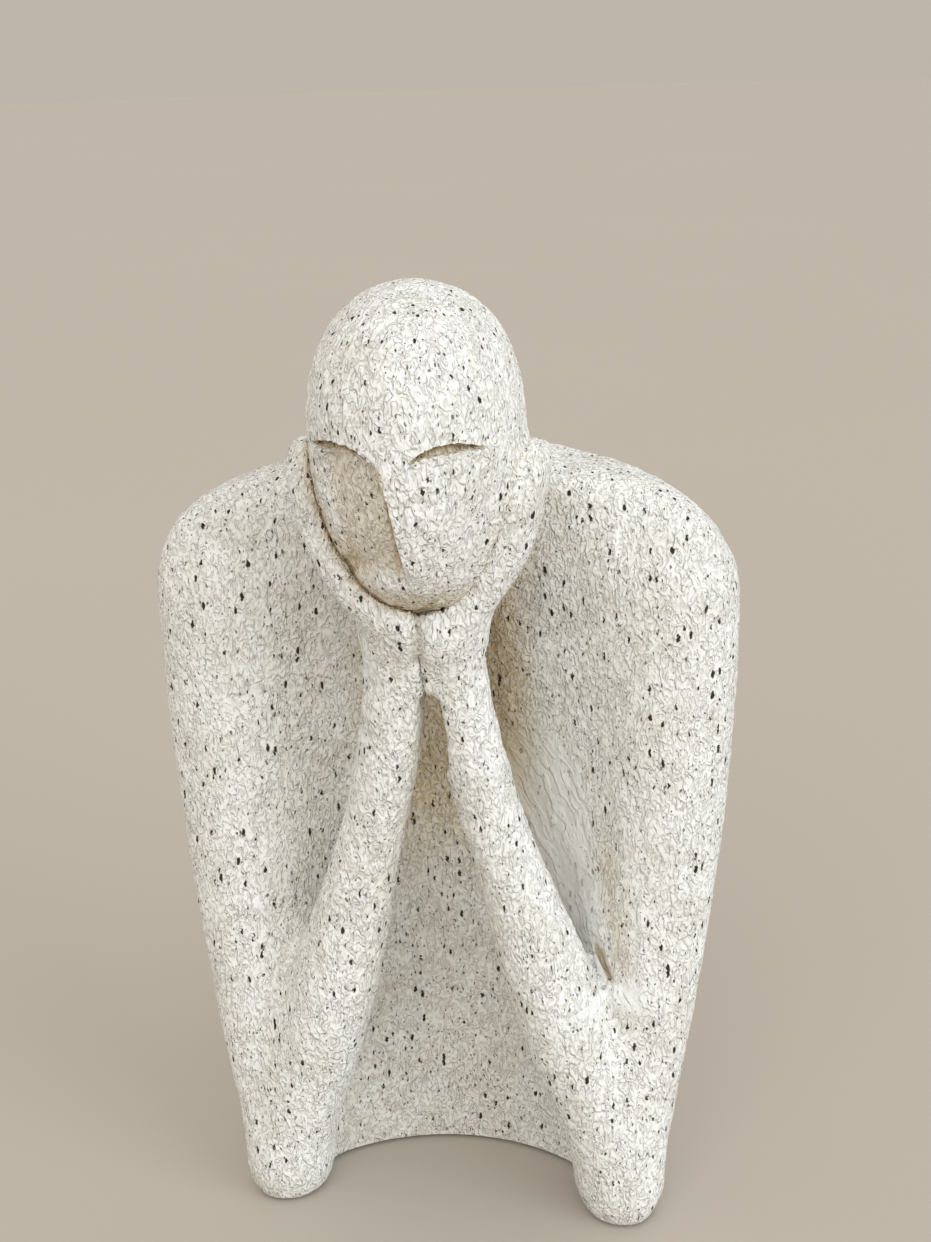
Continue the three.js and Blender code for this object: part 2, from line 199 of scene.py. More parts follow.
@dataclass(frozen=True)
class HeadForm:
    """The egg of the head with the mask-like face and its two eye slits."""

    half_width: float = 21.0
    half_depth: float = 25.0
    crown: float = 27.9
    crown_fullness: float = 2.25
    crown_lean: float = 0.5
    jaw: float = 37.6
    temple: float = 182.4
    forward: float = 9.0
    side: float = 0.4
    turn: float = math.radians(3.0)
    brow_peak: float = 0.1
    brow_peak_side: float = 9.9
    brow_droop: float = 0.052
    cheek_depth: float = 2.3
    left_cheek_share: float = 0.2
    cheek_end: float = 18.0
    cheek_foot: float = 29.0
    crease: float = 1.6
    nose_edge: float = 0.9
    nose_half: float = 2.0
    nose_root: float = 3.1
    nose_offset: float = 0.85
    nose_slant: float = 0.105
    eye_depth: float = 1.6
    eye_inner: Pair = (3.15, -2.4)
    eye_outer: Pair = (16.3, -0.8)
    eye_upper: tuple[Pair, ...] = ((6.0, 1.2), (12.0, 2.4))
    eye_lower: tuple[Pair, ...] = ((7.0, -0.6), (12.0, -0.9))
    right_eye_stretch: float = 1.14
    upper_lid_edge: Pair = (-0.12, 0.22)
    lower_lid_edge: Pair = (-0.15, 0.75)
    lid_steps: int = 40
    nose_line: Pair = (0.2, 0.9)
    nose_line_foot: Pair = (-27.0, -23.0)
    nose_line_top: Pair = (-4.0, -2.0)

    def own(self, at: Array) -> Array:
        """Points in the head's own turned frame, from its centre.

        Args:
            at: Points of the figurine's frame.

        Returns:
            The same points, in the head's own frame.
        """
        x, y = at[:, 0] - self.side, at[:, 1] + self.forward
        c, s = math.cos(self.turn), math.sin(self.turn)
        return np.stack([x * c - y * s, x * s + y * c, at[:, 2] - self.temple], axis=1)

    def placed(self, own: Array) -> Array:
        """Points of the head's own frame put back in the figurine's frame.

        Args:
            own: Points of the head's own frame.

        Returns:
            The same points, in the figurine's frame.
        """
        c, s = math.cos(self.turn), math.sin(self.turn)
        x = own[:, 0] * c + own[:, 1] * s + self.side
        y = -own[:, 0] * s + own[:, 1] * c - self.forward
        return np.stack([x, y, own[:, 2] + self.temple], axis=1)

    def distance(self, at: Array) -> Array:
        """Distance to the egg without its face."""
        own = self.own(at)
        height = np.where(own[:, 2] > 0, self.crown, self.jaw)
        return oval([own[:, 0], own[:, 1], own[:, 2]], [self.half_width, self.half_depth, height])

    def surface(self, at: Array) -> Array:
        """Distance to the head with its face, but without the eye slits."""
        return self.distance(at) + self.face_depth(self.own(at))

    def egg(self, toward: Array) -> Array:
        """Points of the plain egg for directions on a unit ball, in the head's own frame.

        Args:
            toward: Directions of length 1.

        Returns:
            A point of the egg for each direction.
        """
        up = toward[:, 2]
        level = np.hypot(toward[:, 0], toward[:, 1])
        power = np.where(up > 0, self.crown_fullness, 2.0)
        out = (level**power + np.abs(up) ** power) ** (-1.0 / power)
        height = np.where(up > 0, self.crown, self.jaw)
        lean = self.crown_lean * np.maximum(up, 0.0) ** 2
        return np.stack(
            [
                out * toward[:, 0] * self.half_width - lean,
                out * toward[:, 1] * self.half_depth,
                out * up * height,
            ],
            axis=1,
        )

    def beside_nose(self, own: Array) -> Array:
        """How far points lie to the left of the slanting nose."""
        slant = self.nose_slant * np.minimum(own[:, 2] - self.eye_inner[1], 0.0)
        return own[:, 0] - self.nose_offset + slant

    def face_depth(self, own: Array) -> Array:
        """How far the face lies inside the plain egg at points of the head's own frame.

        Args:
            own: Points on the egg.

        Returns:
            The depth at each point.
        """
        v, w = own[:, 1], own[:, 2]
        side = self.beside_nose(own)
        away = np.abs(side)
        brow = self.brow_peak - self.brow_droop * (away - self.brow_peak_side) ** 2
        under_brow = smoothstep(brow - w, 0.0, self.crease)
        root = fade(brow - w, 0.0, 5.0 * self.crease)
        nose = self.nose_half + (self.nose_root - self.nose_half) * root
        rise = (away - nose + self.nose_edge / 2.0) / self.nose_edge
        past_nose = smoothstep(rise, 0.0, 1.0)
        towards_ear = fade(away, self.cheek_end * 0.7, self.cheek_end)
        towards_chin = fade(-w, self.cheek_foot * 0.85, self.cheek_foot)
        depth = np.where(side > 0, self.cheek_depth * self.left_cheek_share, self.cheek_depth)
        return np.where(v > 0, 0.0, depth * under_brow * past_nose * towards_ear * towards_chin)

    def nose_crease(self, own: Array) -> Array:
        """Share of the painted shade that darkens the crease along the right flank of the nose.

        Args:
            own: Points of the head's own frame.

        Returns:
            The share at each point, from 0 to 1.
        """
        flank = self.beside_nose(own) + self.nose_half + 0.5 * self.nose_edge
        line = fade(np.abs(flank), *self.nose_line)
        tall = smoothstep(own[:, 2], *self.nose_line_foot) * fade(own[:, 2], *self.nose_line_top)
        return line * tall * (own[:, 1] < 0)

    def eye_heights(self, own: Array) -> tuple[Array, Array]:
        """Heights of a point below the upper lid and above the lower lid, negative outside.

        Args:
            own: Points of the head's own frame.

        Returns:
            Both heights for each point.
        """
        u, w = own[:, 0] - self.nose_offset, own[:, 2]
        away = np.abs(u) / np.where(u < 0, self.right_eye_stretch, 1.0)
        ends = (np.array(self.eye_inner), np.array(self.eye_outer))
        upper = bezier(ends, tuple(np.array(p) for p in self.eye_upper), self.lid_steps)
        lower = bezier(ends, tuple(np.array(p) for p in self.eye_lower), self.lid_steps)
        below = np.interp(away, upper[:, 0], upper[:, 1]) - w
        above = w - np.interp(away, lower[:, 0], lower[:, 1])
        past_end = np.maximum(self.eye_inner[0] - away, away - self.eye_outer[0])
        out = np.maximum(past_end, 0.0)
        behind = np.where(own[:, 1] > 0, FAR, 0.0)
        return below - out - behind, above - out - behind

    def eye_cut(self, own: Array) -> Array:
        """Share of the eye's depth at points of the head's own frame."""
        below, above = self.eye_heights(own)
        return smoothstep(below, *self.upper_lid_edge) * smoothstep(above, *self.lower_lid_edge)


@dataclass(frozen=True)
class ArmForm:
    """A forearm that ends in a flat hand along the head."""

    head: HeadForm
    wrist: Point = (5.8, -8.5, 137.5)
    elbow: Point = (38.0, 5.0, 7.0)
    pulls: tuple[Point, ...] = ((0.31, 0.24, 0.323), (1.0, 0.61, 0.77))
    wrist_radius: float = 6.6
    forearm_radius: float = 9.9
    elbow_radius: float = 8.2
    wrist_blend: float = 9.0
    wrist_join: float = 7.5
    notch_top: Pair = (1.5, 125.4)
    notch_foot: Pair = (1.4, 112.0)
    notch_radii: Pair = (2.3, 3.2)
    notch_round: float = 1.3
    wrist_crease: Pair = (1.1, 1.4)
    crease_fade: Pair = (132.0, 139.0)
    crease_sides: Pair = (2.4, 0.2)
    crease_heights: Pair = (127.0, 137.0)
    low_crease: float = 0.3
    fuller_until: float = 0.3
    thin_from: float = 0.66
    hand_thickness: float = 5.4
    hand_half_width: float = 10.4
    hand_tip: float = 179.8
    hand_back: float = 7.6
    palm_forward: float = 6.0
    right_hand_reach: float = 2.6
    hand_edge: float = 4.0
    joint_share: float = 0.34
    tail: float = 2.4
    head_seat: float = 0.4
    contact: float = -0.5
    steps: int = 18

    def radius(self, share: Array | float) -> Array | float:
        """Forearm's radius along its curve."""
        rise = smoothstep(share, 0.0, self.fuller_until)
        fuller = mix(self.elbow_radius, self.forearm_radius, rise)
        return mix(fuller, self.wrist_radius, smoothstep(share, self.fuller_until, self.thin_from))

    def curve(self, steps: int) -> Array:
        """Points of the forearm's middle line on the left side."""
        a, b = np.array(self.elbow), np.array(self.wrist)
        pulls = tuple(mix(a, b, np.array(p)) for p in self.pulls)
        return bezier((a, b), pulls, steps)

    def limb(self) -> Limb:
        """The left forearm without its hand."""
        return Limb(self.curve(self.steps), self.radius(np.linspace(0.0, 1.0, self.steps + 1)))

    def joint(self) -> tuple[Array, Array]:
        """Centre and direction of the joint with the body on the left side."""
        fine = 1000
        line = self.curve(fine)
        at = round(self.joint_share * fine)
        along = line[at + 1] - line[at - 1]
        return line[at], along / np.linalg.norm(along)

    def past_joint(self, at: Array) -> Array:
        """How far points of the left side lie past the joint, towards the hand."""
        centre, along = self.joint()
        return (at - centre) @ along

    def hand(self, at: Array, side: int) -> Array:
        """Distance to a hand, a strip of even thickness over the egg.

        Args:
            at: Points of the figurine's frame.
            side: 1 for the left hand, -1 for the right one.

        Returns:
            The distance at each point.
        """
        low = self.wrist[2] + self.hand_half_width * 0.7
        high = self.hand_tip - self.hand_half_width
        t = np.clip((at[:, 2] - low) / (high - low), 0.0, 1.0)
        reach = self.palm_forward + (self.right_hand_reach if side < 0 else 0.0)
        back = mix(reach, self.hand_back, t)
        outline = np.hypot(at[:, 1] + back, at[:, 2] - mix(low, high, t)) - self.hand_half_width
        return soft_max(self.head.distance(at) - self.hand_thickness, outline, self.hand_edge)

    def notch(self, at: Array) -> Array:
        """Distance to the round-topped gap below the joined wrists, seen from the front.

        Args:
            at: Points of the figurine's frame.

        Returns:
            The distance at each point, negative in the gap.
        """
        top, foot = np.array(self.notch_top), np.array(self.notch_foot)
        flat = at[:, [0, 2]]
        reach = foot - top
        t = np.clip((flat - top) @ reach / (reach @ reach), 0.0, 1.0)
        away = np.linalg.norm(flat - top - t[:, None] * reach, axis=1)
        return away - mix(self.notch_radii[0], self.notch_radii[1], t)

    def beside_crease(self, at: Array) -> Array:
        """How far points lie beside the crease between the wrists."""
        return at[:, 0] - mix(*self.crease_sides, smoothstep(at[:, 2], *self.crease_heights))

    def crease_share(self, at: Array) -> Array:
        """How strong the crease between the wrists is at each point's height."""
        return mix(self.low_crease, 1.0, smoothstep(at[:, 2], *self.crease_fade))

    def distance(self, at: Array, side: int, tuck: float = 0.0) -> Array:
        """Distance to one forearm with its hand, which runs on past the middle.

        Args:
            at: Points of the figurine's frame.
            side: 1 for the left arm, -1 for the right one.
            tuck: How far the end in the body is drawn in.

        Returns:
            The distance at each point.
        """
        mirrored = at * np.array([side, 1.0, 1.0])
        limb = self.limb()
        rod = limb.distance(mirrored)
        if tuck:
            rod = rod + tuck * smoothstep(-self.past_joint(mirrored), *TUCK)
        other = limb.distance(mirrored * np.array([-1.0, 1.0, 1.0]))
        both = soft_min(rod, other, self.wrist_join)
        arm = soft_min(both, self.hand(at, side), self.wrist_blend)
        depth, width = self.wrist_crease
        crease = depth * self.crease_share(at) * np.exp(-((self.beside_crease(at) / width) ** 2))
        return soft_max(arm + crease, -self.notch(at), self.notch_round)

    def closed(self, at: Array, side: int, tuck: float) -> Array:
        """Distance to one arm as it is shown, cut at the middle, at the head and in the elbow.

        Args:
            at: Points of the figurine's frame.
            side: 1 for the left arm, -1 for the right one.
            tuck: How far the end in the body is drawn in.

        Returns:
            The distance at each point.
        """
        arm = self.distance(at, side, tuck)
        past_middle = self.contact - side * at[:, 0]
        in_head = -self.head.surface(at) - self.head_seat
        in_elbow = -self.past_joint(at * np.array([side, 1.0, 1.0])) - self.tail
        return np.max([arm, past_middle, in_head, in_elbow], axis=0)


@dataclass(frozen=True)
class BodyForm:
    """The cloak-like body: a bent wall that grows into shoulders and upper arms, with a neck."""

    head: HeadForm
    arm: ArmForm
    elbow_blend: float = 6.0
    left_crotch_blend: float = 1.4
    filler: tuple[tuple[Point, float, float], ...] = (
        ((40.5, 4.4, 54.0), 4.4, 4.0),
        ((33.6, 5.2, 67.4), 1.2, 0.9),
    )
    foot_blend: float = 11.0
    armpit_blend: float = 15.0
    shoulder: Point = (46.5, 18.0, 142.0)
    shoulder_radius: float = 15.3
    upper_pulls: tuple[Point, ...] = ((0.72, 0.2, 0.3), (1.45, 0.6, 0.613))
    back_centre: float = -6.0
    foot_half_width: float = 40.0
    foot_depth: float = 46.0
    yoke_half_width: float = 56.5
    yoke_depth: float = 53.0
    wall_growth: float = 1.8
    back_squareness: float = 2.9
    edge_in_arm: float = 4.0
    hollow_centre: float = -16.0
    hollow_foot: Pair = (44.0, 44.0)
    hollow_top: Pair = (36.0, 38.0)
    stoop: float = 10.0
    stoop_from: float = 92.0
    roof_height: float = 171.3
    roof_fall_right: float = 0.0031
    roof_fall_left: float = 0.0026
    roof_round: float = 7.0
    nape: Pair = (24.0, 160.0)
    neck_radius: float = 14.0
    neck_blend: float = 14.0
    stub_length: float = 17.0
    stub_tuck: float = 0.3
    crotch: Pair = (-14.0, -4.0)
    arm_steps: int = 18

    def cloak(self, at: Array) -> Array:
        """Distance to the wall between the outer and the inner oval.

        Args:
            at: Points of the figurine's frame.

        Returns:
            The distance at each point.
        """
        x, y, z = at.T
        share = np.clip(z / self.shoulder[2], 0.0, 1.0)
        grown = 1.0 - (1.0 - share) ** self.wall_growth
        upright = y + self.stoop * smoothstep(z, self.stoop_from, self.roof_height)
        outside = oval(
            [x, upright - self.back_centre],
            [
                mix(self.foot_half_width, self.yoke_half_width, grown),
                mix(self.foot_depth, self.yoke_depth, grown),
            ],
            self.back_squareness,
        )
        hollow = oval(
            [x, upright - self.hollow_centre],
            [
                mix(self.hollow_foot[0], self.hollow_top[0], share),
                mix(self.hollow_foot[1], self.hollow_top[1], share),
            ],
        )
        in_front = mix(self.arm.elbow[1] - self.edge_in_arm, self.shoulder[1], share) - upright
        wall = soft_max(outside, -hollow, self.elbow_blend)
        return soft_max(wall, in_front, self.elbow_blend)

    def upper_arm(self) -> Limb:
        """The left upper arm."""
        a, b = np.array(self.arm.elbow), np.array(self.shoulder)
        pulls = tuple(mix(a, b, np.array(p)) for p in self.upper_pulls)
        shares = np.linspace(0.0, 1.0, self.arm_steps + 1)
        radii = mix(self.arm.elbow_radius, self.shoulder_radius, shares**2)
        return Limb(bezier((a, b), pulls, self.arm_steps), radii)

    def neck(self) -> Limb:
        """The neck under the back of the head."""
        low = np.array([0.0, *self.nape])
        top = -self.head.forward + self.head.half_depth * 0.4
        high = np.array([0.0, top, mix(self.nape[1], self.head.temple, 0.85)])
        return Limb(np.stack([low, high]), np.full(2, self.neck_radius))

    def distance(self, at: Array) -> Array:
        """Distance to the body, with a stub of each forearm.

        Args:
            at: Points of the figurine's frame.

        Returns:
            The distance at each point.
        """
        x, z = at[:, 0], at[:, 2]
        mirrored = np.column_stack([np.abs(x), at[:, 1], z])
        share = np.clip(z / self.shoulder[2], 0.0, 1.0)
        arms = self.upper_arm().distance(mirrored)
        cloak = soft_min(self.cloak(at), arms, mix(self.foot_blend, self.armpit_blend, share))
        fall = np.where(x > 0, self.roof_fall_left, self.roof_fall_right)
        roof = (z - self.roof_height + fall * x * x) / np.hypot(1.0, 2.0 * fall * x)
        shoulders = soft_max(cloak, roof, self.roof_round)
        past = self.arm.past_joint(mirrored)
        tucked = self.stub_tuck * smoothstep(past, *TUCK)
        stub = np.maximum(self.arm.limb().distance(mirrored) + tucked, past - self.stub_length)
        crotch = smoothstep(past, *self.crotch) * (x > 0)
        with_elbows = soft_min(shoulders, stub, mix(self.elbow_blend, self.left_crotch_blend, crotch))
        for spot, radius, blend in self.filler:
            ball = np.linalg.norm(at - np.array(spot), axis=1) - radius
            with_elbows = soft_min(with_elbows, ball, blend)
        return soft_min(with_elbows, self.neck().distance(at), self.neck_blend)


# The coat as a relief


@dataclass(frozen=True)
class CoatRelief:
    """Lumps and strokes of the coat that are large enough to stand in the mesh."""

    lump: float = 4.6
    lump_height: float = 0.26
    lump_tall: float = 0.8
    stroke: float = 1.9
    stroke_height: float = 0.3
    stroke_tall: float = 0.62
    swirl: float = 0.5
    swirl_share: float = 0.6
    sunk: float = 0.14
    seed: int = 5

    def height(self, at: Array, fine: float) -> Array:
        """Height of the coat.

        Args:
            at: Points of the figurine's frame.
            fine: Share of the strokes that the mesh can carry.

        Returns:
            The height at each point, mostly below zero.
        """
        noise.seed_set(self.seed)
        out = np.empty(len(at))
        for i, (x, y, z) in enumerate(at.tolist()):
            place = Vector((x, y, z * self.stroke_tall)) / self.stroke
            lump = noise.noise(Vector((x, y, z * self.lump_tall)) / self.lump)
            push = noise.noise_vector(place * self.swirl_share) * self.swirl
            level = noise.noise(place + push)
            ridge = 0.5 - 2.0 * abs(level)
            out[i] = self.lump_height * lump + fine * self.stroke_height * ridge
        return out - self.sunk


# Materials


class Signal:
    """A number on its way through a material's nodes, with the usual operators."""

    def __init__(self, sheet: "NodeSheet", socket: Socket) -> None:
        """Keeps the socket that the number comes from."""
        self.sheet = sheet
        self.socket = socket

    def __add__(self, other: "Signal | float") -> "Signal":
        """Sum."""
        return self.sheet.math("ADD", self, other)

    def __radd__(self, other: float) -> "Signal":
        """Sum with a number on the left."""
        return self.sheet.math("ADD", other, self)

    def __sub__(self, other: "Signal | float") -> "Signal":
        """Difference."""
        return self.sheet.math("SUBTRACT", self, other)

    def __rsub__(self, other: float) -> "Signal":
        """Difference from a number on the left."""
        return self.sheet.math("SUBTRACT", other, self)

    def __mul__(self, other: "Signal | float") -> "Signal":
        """Product."""
        return self.sheet.math("MULTIPLY", self, other)

    def __rmul__(self, other: float) -> "Signal":
        """Product with a number on the left."""
        return self.sheet.math("MULTIPLY", other, self)

    def __abs__(self) -> "Signal":
        """Size without sign."""
        return self.sheet.math("ABSOLUTE", self, 0.0)

    def sine(self) -> "Signal":
        """Sine of an angle in radians."""
        return self.sheet.math("SINE", self, 0.0)

    def at_most(self, other: "Signal | float") -> "Signal":
        """The lower of two values."""
        return self.sheet.math("MINIMUM", self, other)

    def at_least(self, other: "Signal | float") -> "Signal":
        """The higher of two values."""
        return self.sheet.math("MAXIMUM", self, other)


class NodeSheet:
    """The node tree of one material, emptied and rebuilt."""

    def __init__(self, name: str) -> None:
        """Starts a material without nodes."""
        self.material = bpy.data.materials.new(name)
        self.material.use_nodes = True
        self.tree = self.material.node_tree
        self.tree.nodes.clear()

    def node(
        self, kind: str, settings: dict | None = None, inputs: dict | None = None
    ) -> bpy.types.Node:
        """Adds a node.

        Args:
            kind: Its type, without the leading ShaderNode.
            settings: Properties, which are set first.
            inputs: A value or a link for each socket, by name or number.

        Returns:
            The node.
        """
        made = self.tree.nodes.new("ShaderNode" + kind)
        for name, value in (settings or {}).items():
            setattr(made, name, value)
        for key, value in (inputs or {}).items():
            if isinstance(value, Signal):
                value = value.socket
            if isinstance(value, Socket):
                self.tree.links.new(value, made.inputs[key])
            else:
                made.inputs[key].default_value = value
        return made

    def math(self, operation: str, a: Signal | float, b: Signal | float) -> Signal:
        """A Math node on two values."""
        made = self.node("Math", {"operation": operation}, {0: a, 1: b})
        return Signal(self, made.outputs[0])

    def vector(self, operation: str, *inputs: Socket | Signal | Colour) -> Socket:
        """A VectorMath node on two or three vectors."""
        made = self.node("VectorMath", {"operation": operation}, dict(enumerate(inputs)))
        return made.outputs[0]

    def step(self, value: Signal, low: float, high: float) -> Signal:
        """Smooth rise from 0 at low to 1 at high.

        Args:
            value: The rising number.
            low: Where the rise starts.
            high: Where it ends.

        Returns:
            The share of the rise.
        """
        made = self.node(
            "MapRange",
            {"interpolation_type": "SMOOTHSTEP"},
            {"Value": value, "From Min": low, "From Max": high},
        )
        return Signal(self, made.outputs["Result"])

    def place(self) -> Socket:
        """The point in metres."""
        return self.node("TexCoord").outputs["Object"]

    def place_mm(self) -> Socket:
        """The point in millimetres."""
        return self.vector("MULTIPLY", self.place(), (1000.0, 1000.0, 1000.0))

    def attribute(self, name: str) -> Signal:
        """A number that is stored with the mesh."""
        made = self.node("Attribute", {"attribute_name": name})
        return Signal(self, made.outputs["Fac"])

    def swirled(self, vector: Socket, size: float, reach: float) -> Socket:
        """A vector pushed about by noise.

        Args:
            vector: Where the point is.
            size: Size of the swirls.
            reach: How far they push.

        Returns:
            The pushed vector.
        """
        inputs = {"Vector": vector, "Scale": 1.0 / size, "Detail": 1.0}
        push = self.node("TexNoise", {"noise_dimensions": "3D"}, inputs)
        centred = self.vector("SUBTRACT", push.outputs["Color"], (0.5, 0.5, 0.5))
        return self.vector("MULTIPLY_ADD", centred, (reach, reach, reach), vector)

    def noise(self, vector: Socket, size: float, detail: float = 0.0, rough: float = 0.5) -> Signal:
        """Noise from 0 to 1 with features of a size.

        Args:
            vector: Where the point is.
            size: Size of the features.
            detail: Number of finer layers.
            rough: Strength of the finer layers.

        Returns:
            The noise.
        """
        made = self.node(
            "TexNoise",
            {"noise_dimensions": "3D"},
            {"Vector": vector, "Scale": 1.0 / size, "Detail": detail, "Roughness": rough},
        )
        return Signal(self, made.outputs["Fac"])

    def colour_mix(self, share: Signal, low: Colour | Signal, high: Colour | Signal) -> Signal:
        """Blend of two colours.

        Args:
            share: 0 for the first and 1 for the second.
            low: The first colour.
            high: The second colour.

        Returns:
            The blend.
        """
        low, high = (c if isinstance(c, Signal) else (*c, 1.0) for c in (low, high))
        made = self.node("Mix", {"data_type": "RGBA"}, {0: share, 6: low, 7: high})
        return Signal(self, made.outputs[2])

    def bump(self, height: Signal, distance: float, strength: float = 1.0) -> Socket:
        """Normal of a surface with a relief."""
        inputs = {"Strength": strength, "Distance": distance, "Height": height}
        return self.node("Bump", {}, inputs).outputs[0]

    def finish(self, inputs: dict) -> bpy.types.Material:
        """Ends the sheet with a shader of some inputs and returns the material."""
        surface = self.node("BsdfPrincipled", {}, inputs)
        self.node("OutputMaterial", {}, {"Surface": surface.outputs[0]})
        return self.material


def from_srgb(red: int, green: int, blue: int) -> Colour:
    """Scene-linear colour from 0 to 255 display values."""
    shares = (red / 255.0, green / 255.0, blue / 255.0)
    return tuple(s / 12.92 if s <= 0.04045 else ((s + 0.055) / 1.055) ** 2.4 for s in shares)


@dataclass(frozen=True)
class CutLayer:
    """Curved cuts of one size in the coat, in millimetres."""

    swirl: float
    size: float
    lines: float
    gap: float


@dataclass(frozen=True)
class PitKind:
    """Pits of one size: distance, largest radius, width over height, and share of empty places."""

    cell: float
    radius: float
    squash: float
    empty: float


@dataclass(frozen=True)
class StoneCoat:
    """Matt white coat with short curly strokes and dark pits, with painted shade: beige in recesses,
    brown in the deepest ones and darker in the cuts.
    """

    white: Colour = from_srgb(250, 250, 249)
    shade: Colour = from_srgb(241, 240, 236)
    groove_shade: Colour = from_srgb(160, 144, 112)
    painted_shade: Colour = from_srgb(205, 185, 148)
    brown_painted_shade: Colour = from_srgb(124, 98, 62)
    filler: Colour = from_srgb(250, 252, 253)
    pit: Colour = from_srgb(60, 51, 37)
    roughness: float = 0.9
    groove_shade_share: float = 0.22
    strand_shade_share: float = 0.1
    filler_tint: float = 0.8
    even_painted_shade: float = 0.66
    even_brown_shade: float = 0.7
    grain_height: float = 0.08
    ridge_height: float = 0.34
    groove_depth: float = 0.22
    strand_depth: float = 0.3
    pit_depth: float = 0.5
    brushed_smooth: float = 0.8
    brushed_closed: float = 0.6
    clouds: Pair = (0.4, 0.7)
    cut_reach: float = 1.1
    cut_tall: float = 0.6
    cut_width: float = 0.95
    cut_breaks: Pair = (0.37, 0.56)
    ridge_tall: float = 0.55
    ridge_width: float = 0.19
    ridge_breaks: Pair = (0.36, 0.6)
    low_ridge: float = 0.35
    strand_lean: Colour = (0.5, -0.25, -0.83)
    strand_length: float = 0.93
    strand_edge: Pair = (0.4, 0.6)
    cuts: tuple[CutLayer, ...] = (CutLayer(1.4, 2.3, 17.0, 1.1), CutLayer(0.9, 1.5, 10.0, 0.8))
    large_pits: PitKind = PitKind(1.4, 0.48, 0.38, 0.2)
    small_pits: PitKind = PitKind(0.8, 0.27, 0.5, 0.17)
    small_pit_strength: float = 0.75
    pit_spread: float = 1.15
    pit_edge: float = 0.3

    def make(self) -> bpy.types.Material:
        """Builds the material."""
        sheet = NodeSheet("stone_coat")
        mm = sheet.place_mm()
        painted_shade = sheet.attribute("painted_shade")
        brushed = sheet.attribute("brushed")
        plain = 1.0 - self.brushed_smooth * brushed

        grooves = self._grooves(sheet, mm) * plain
        ridges = self._ridges(sheet, mm) * plain
        strands = self._strands(sheet, mm) * brushed
        grain = sheet.noise(mm, size=0.45, detail=2.0, rough=0.6)
        small = self._pits(sheet, mm, self.small_pits) * self.small_pit_strength
        holes = self._pits(sheet, mm, self.large_pits).at_least(small)
        holes = holes * (1.0 - self.brushed_closed * brushed)

        clouds = sheet.step(sheet.noise(mm, size=9.0, detail=2.0), *self.clouds)
        base = sheet.colour_mix(clouds, self.white, self.shade)
        base = sheet.colour_mix(brushed * self.filler_tint, base, self.filler)
        # Painted shade: the cuts between strokes and the brushed streaks are darkened towards a dull
        # beige, standing in for shade in these small hollows.
        lines = (grooves * self.groove_shade_share + strands * self.strand_shade_share).at_most(1.0)
        grooved = sheet.colour_mix(lines, base, self.groove_shade)
        # Painted shade from the mesh's stored share: beige up to 1, stronger in the cuts, and brown
        # above 1.
        tinted = painted_shade.at_most(1.0) * (self.even_painted_shade + (1.0 - self.even_painted_shade) * grooves)
        shaded_colour = sheet.colour_mix(tinted, grooved, self.painted_shade)
        deeper = (painted_shade - 1.0).at_least(0.0) * (self.even_brown_shade + (1.0 - self.even_brown_shade) * grooves)
        shaded_colour = sheet.colour_mix(deeper.at_most(1.0), shaded_colour, self.brown_painted_shade)

        height = self.grain_height * grain + self.ridge_height * ridges - self.groove_depth * grooves
        height = height - self.strand_depth * strands - self.pit_depth * holes
        # The pits take a dark brown: partly the coat's own dark flecks, partly painted shade for the
        # inside of holes too small for the mesh.
        return sheet.finish(
            {
                "Base Color": sheet.colour_mix(holes, shaded_colour, self.pit),
                "Roughness": self.roughness,
                "Specular IOR Level": 0.25,
                "Normal": sheet.bump(height, MM),
            }
        )

    def _grooves(self, sheet: NodeSheet, mm: Socket) -> Signal:
        """Short curved cuts between strokes, which follow the level lines of a soft noise.

        Args:
            sheet: The material's nodes.
            mm: The point in millimetres.

        Returns:
            The depth of the cuts, from 0 on a stroke to 1 in a cut.
        """
        tall = sheet.vector("MULTIPLY", mm, (1.0, 1.0, self.cut_tall))
        layers = []
        for cut in self.cuts:
            levels = sheet.noise(sheet.swirled(tall, cut.swirl, self.cut_reach), cut.size)
            line = 1.0 - sheet.step(abs((levels * cut.lines).sine()), 0.0, self.cut_width)
            layers.append(line * sheet.step(sheet.noise(tall, cut.gap), *self.cut_breaks))
        return layers[0].at_least(layers[1])

    def _ridges(self, sheet: NodeSheet, mm: Socket) -> Signal:
        """Rounded strokes that stand out of the coat, where a soft noise passes its mean.

        Args:
            sheet: The material's nodes.
            mm: The point in millimetres.

        Returns:
            The height of the strokes, from 0 to 1 on a crest.
        """
        tall = sheet.vector("MULTIPLY", mm, (1.0, 1.0, self.ridge_tall))
        level = sheet.noise(sheet.swirled(tall, size=1.8, reach=1.5), size=1.35)
        crest = 1.0 - sheet.step(abs(level - 0.5), 0.0, self.ridge_width)
        strong = sheet.step(sheet.noise(tall, size=2.2), *self.ridge_breaks)
        return crest * (self.low_ridge + (1.0 - self.low_ridge) * strong)

    def _strands(self, sheet: NodeSheet, mm: Socket) -> Signal:
        """Long streaks where the filler was brushed out.

        Args:
            sheet: The material's nodes.
            mm: The point in millimetres.

        Returns:
            The depth of the streaks, from 0 to 1.
        """
        bent = sheet.swirled(mm, size=7.0, reach=5.0)
        inputs = {0: bent, 1: self.strand_lean}
        along = sheet.node("VectorMath", {"operation": "DOT_PRODUCT"}, inputs).outputs["Value"]
        inputs = {0: self.strand_lean, "Scale": Signal(sheet, along) * -self.strand_length}
        lean = sheet.node("VectorMath", {"operation": "SCALE"}, inputs).outputs[0]
        across = sheet.vector("ADD", bent, lean)
        return sheet.step(sheet.noise(across, size=1.7, detail=1.0), *self.strand_edge)

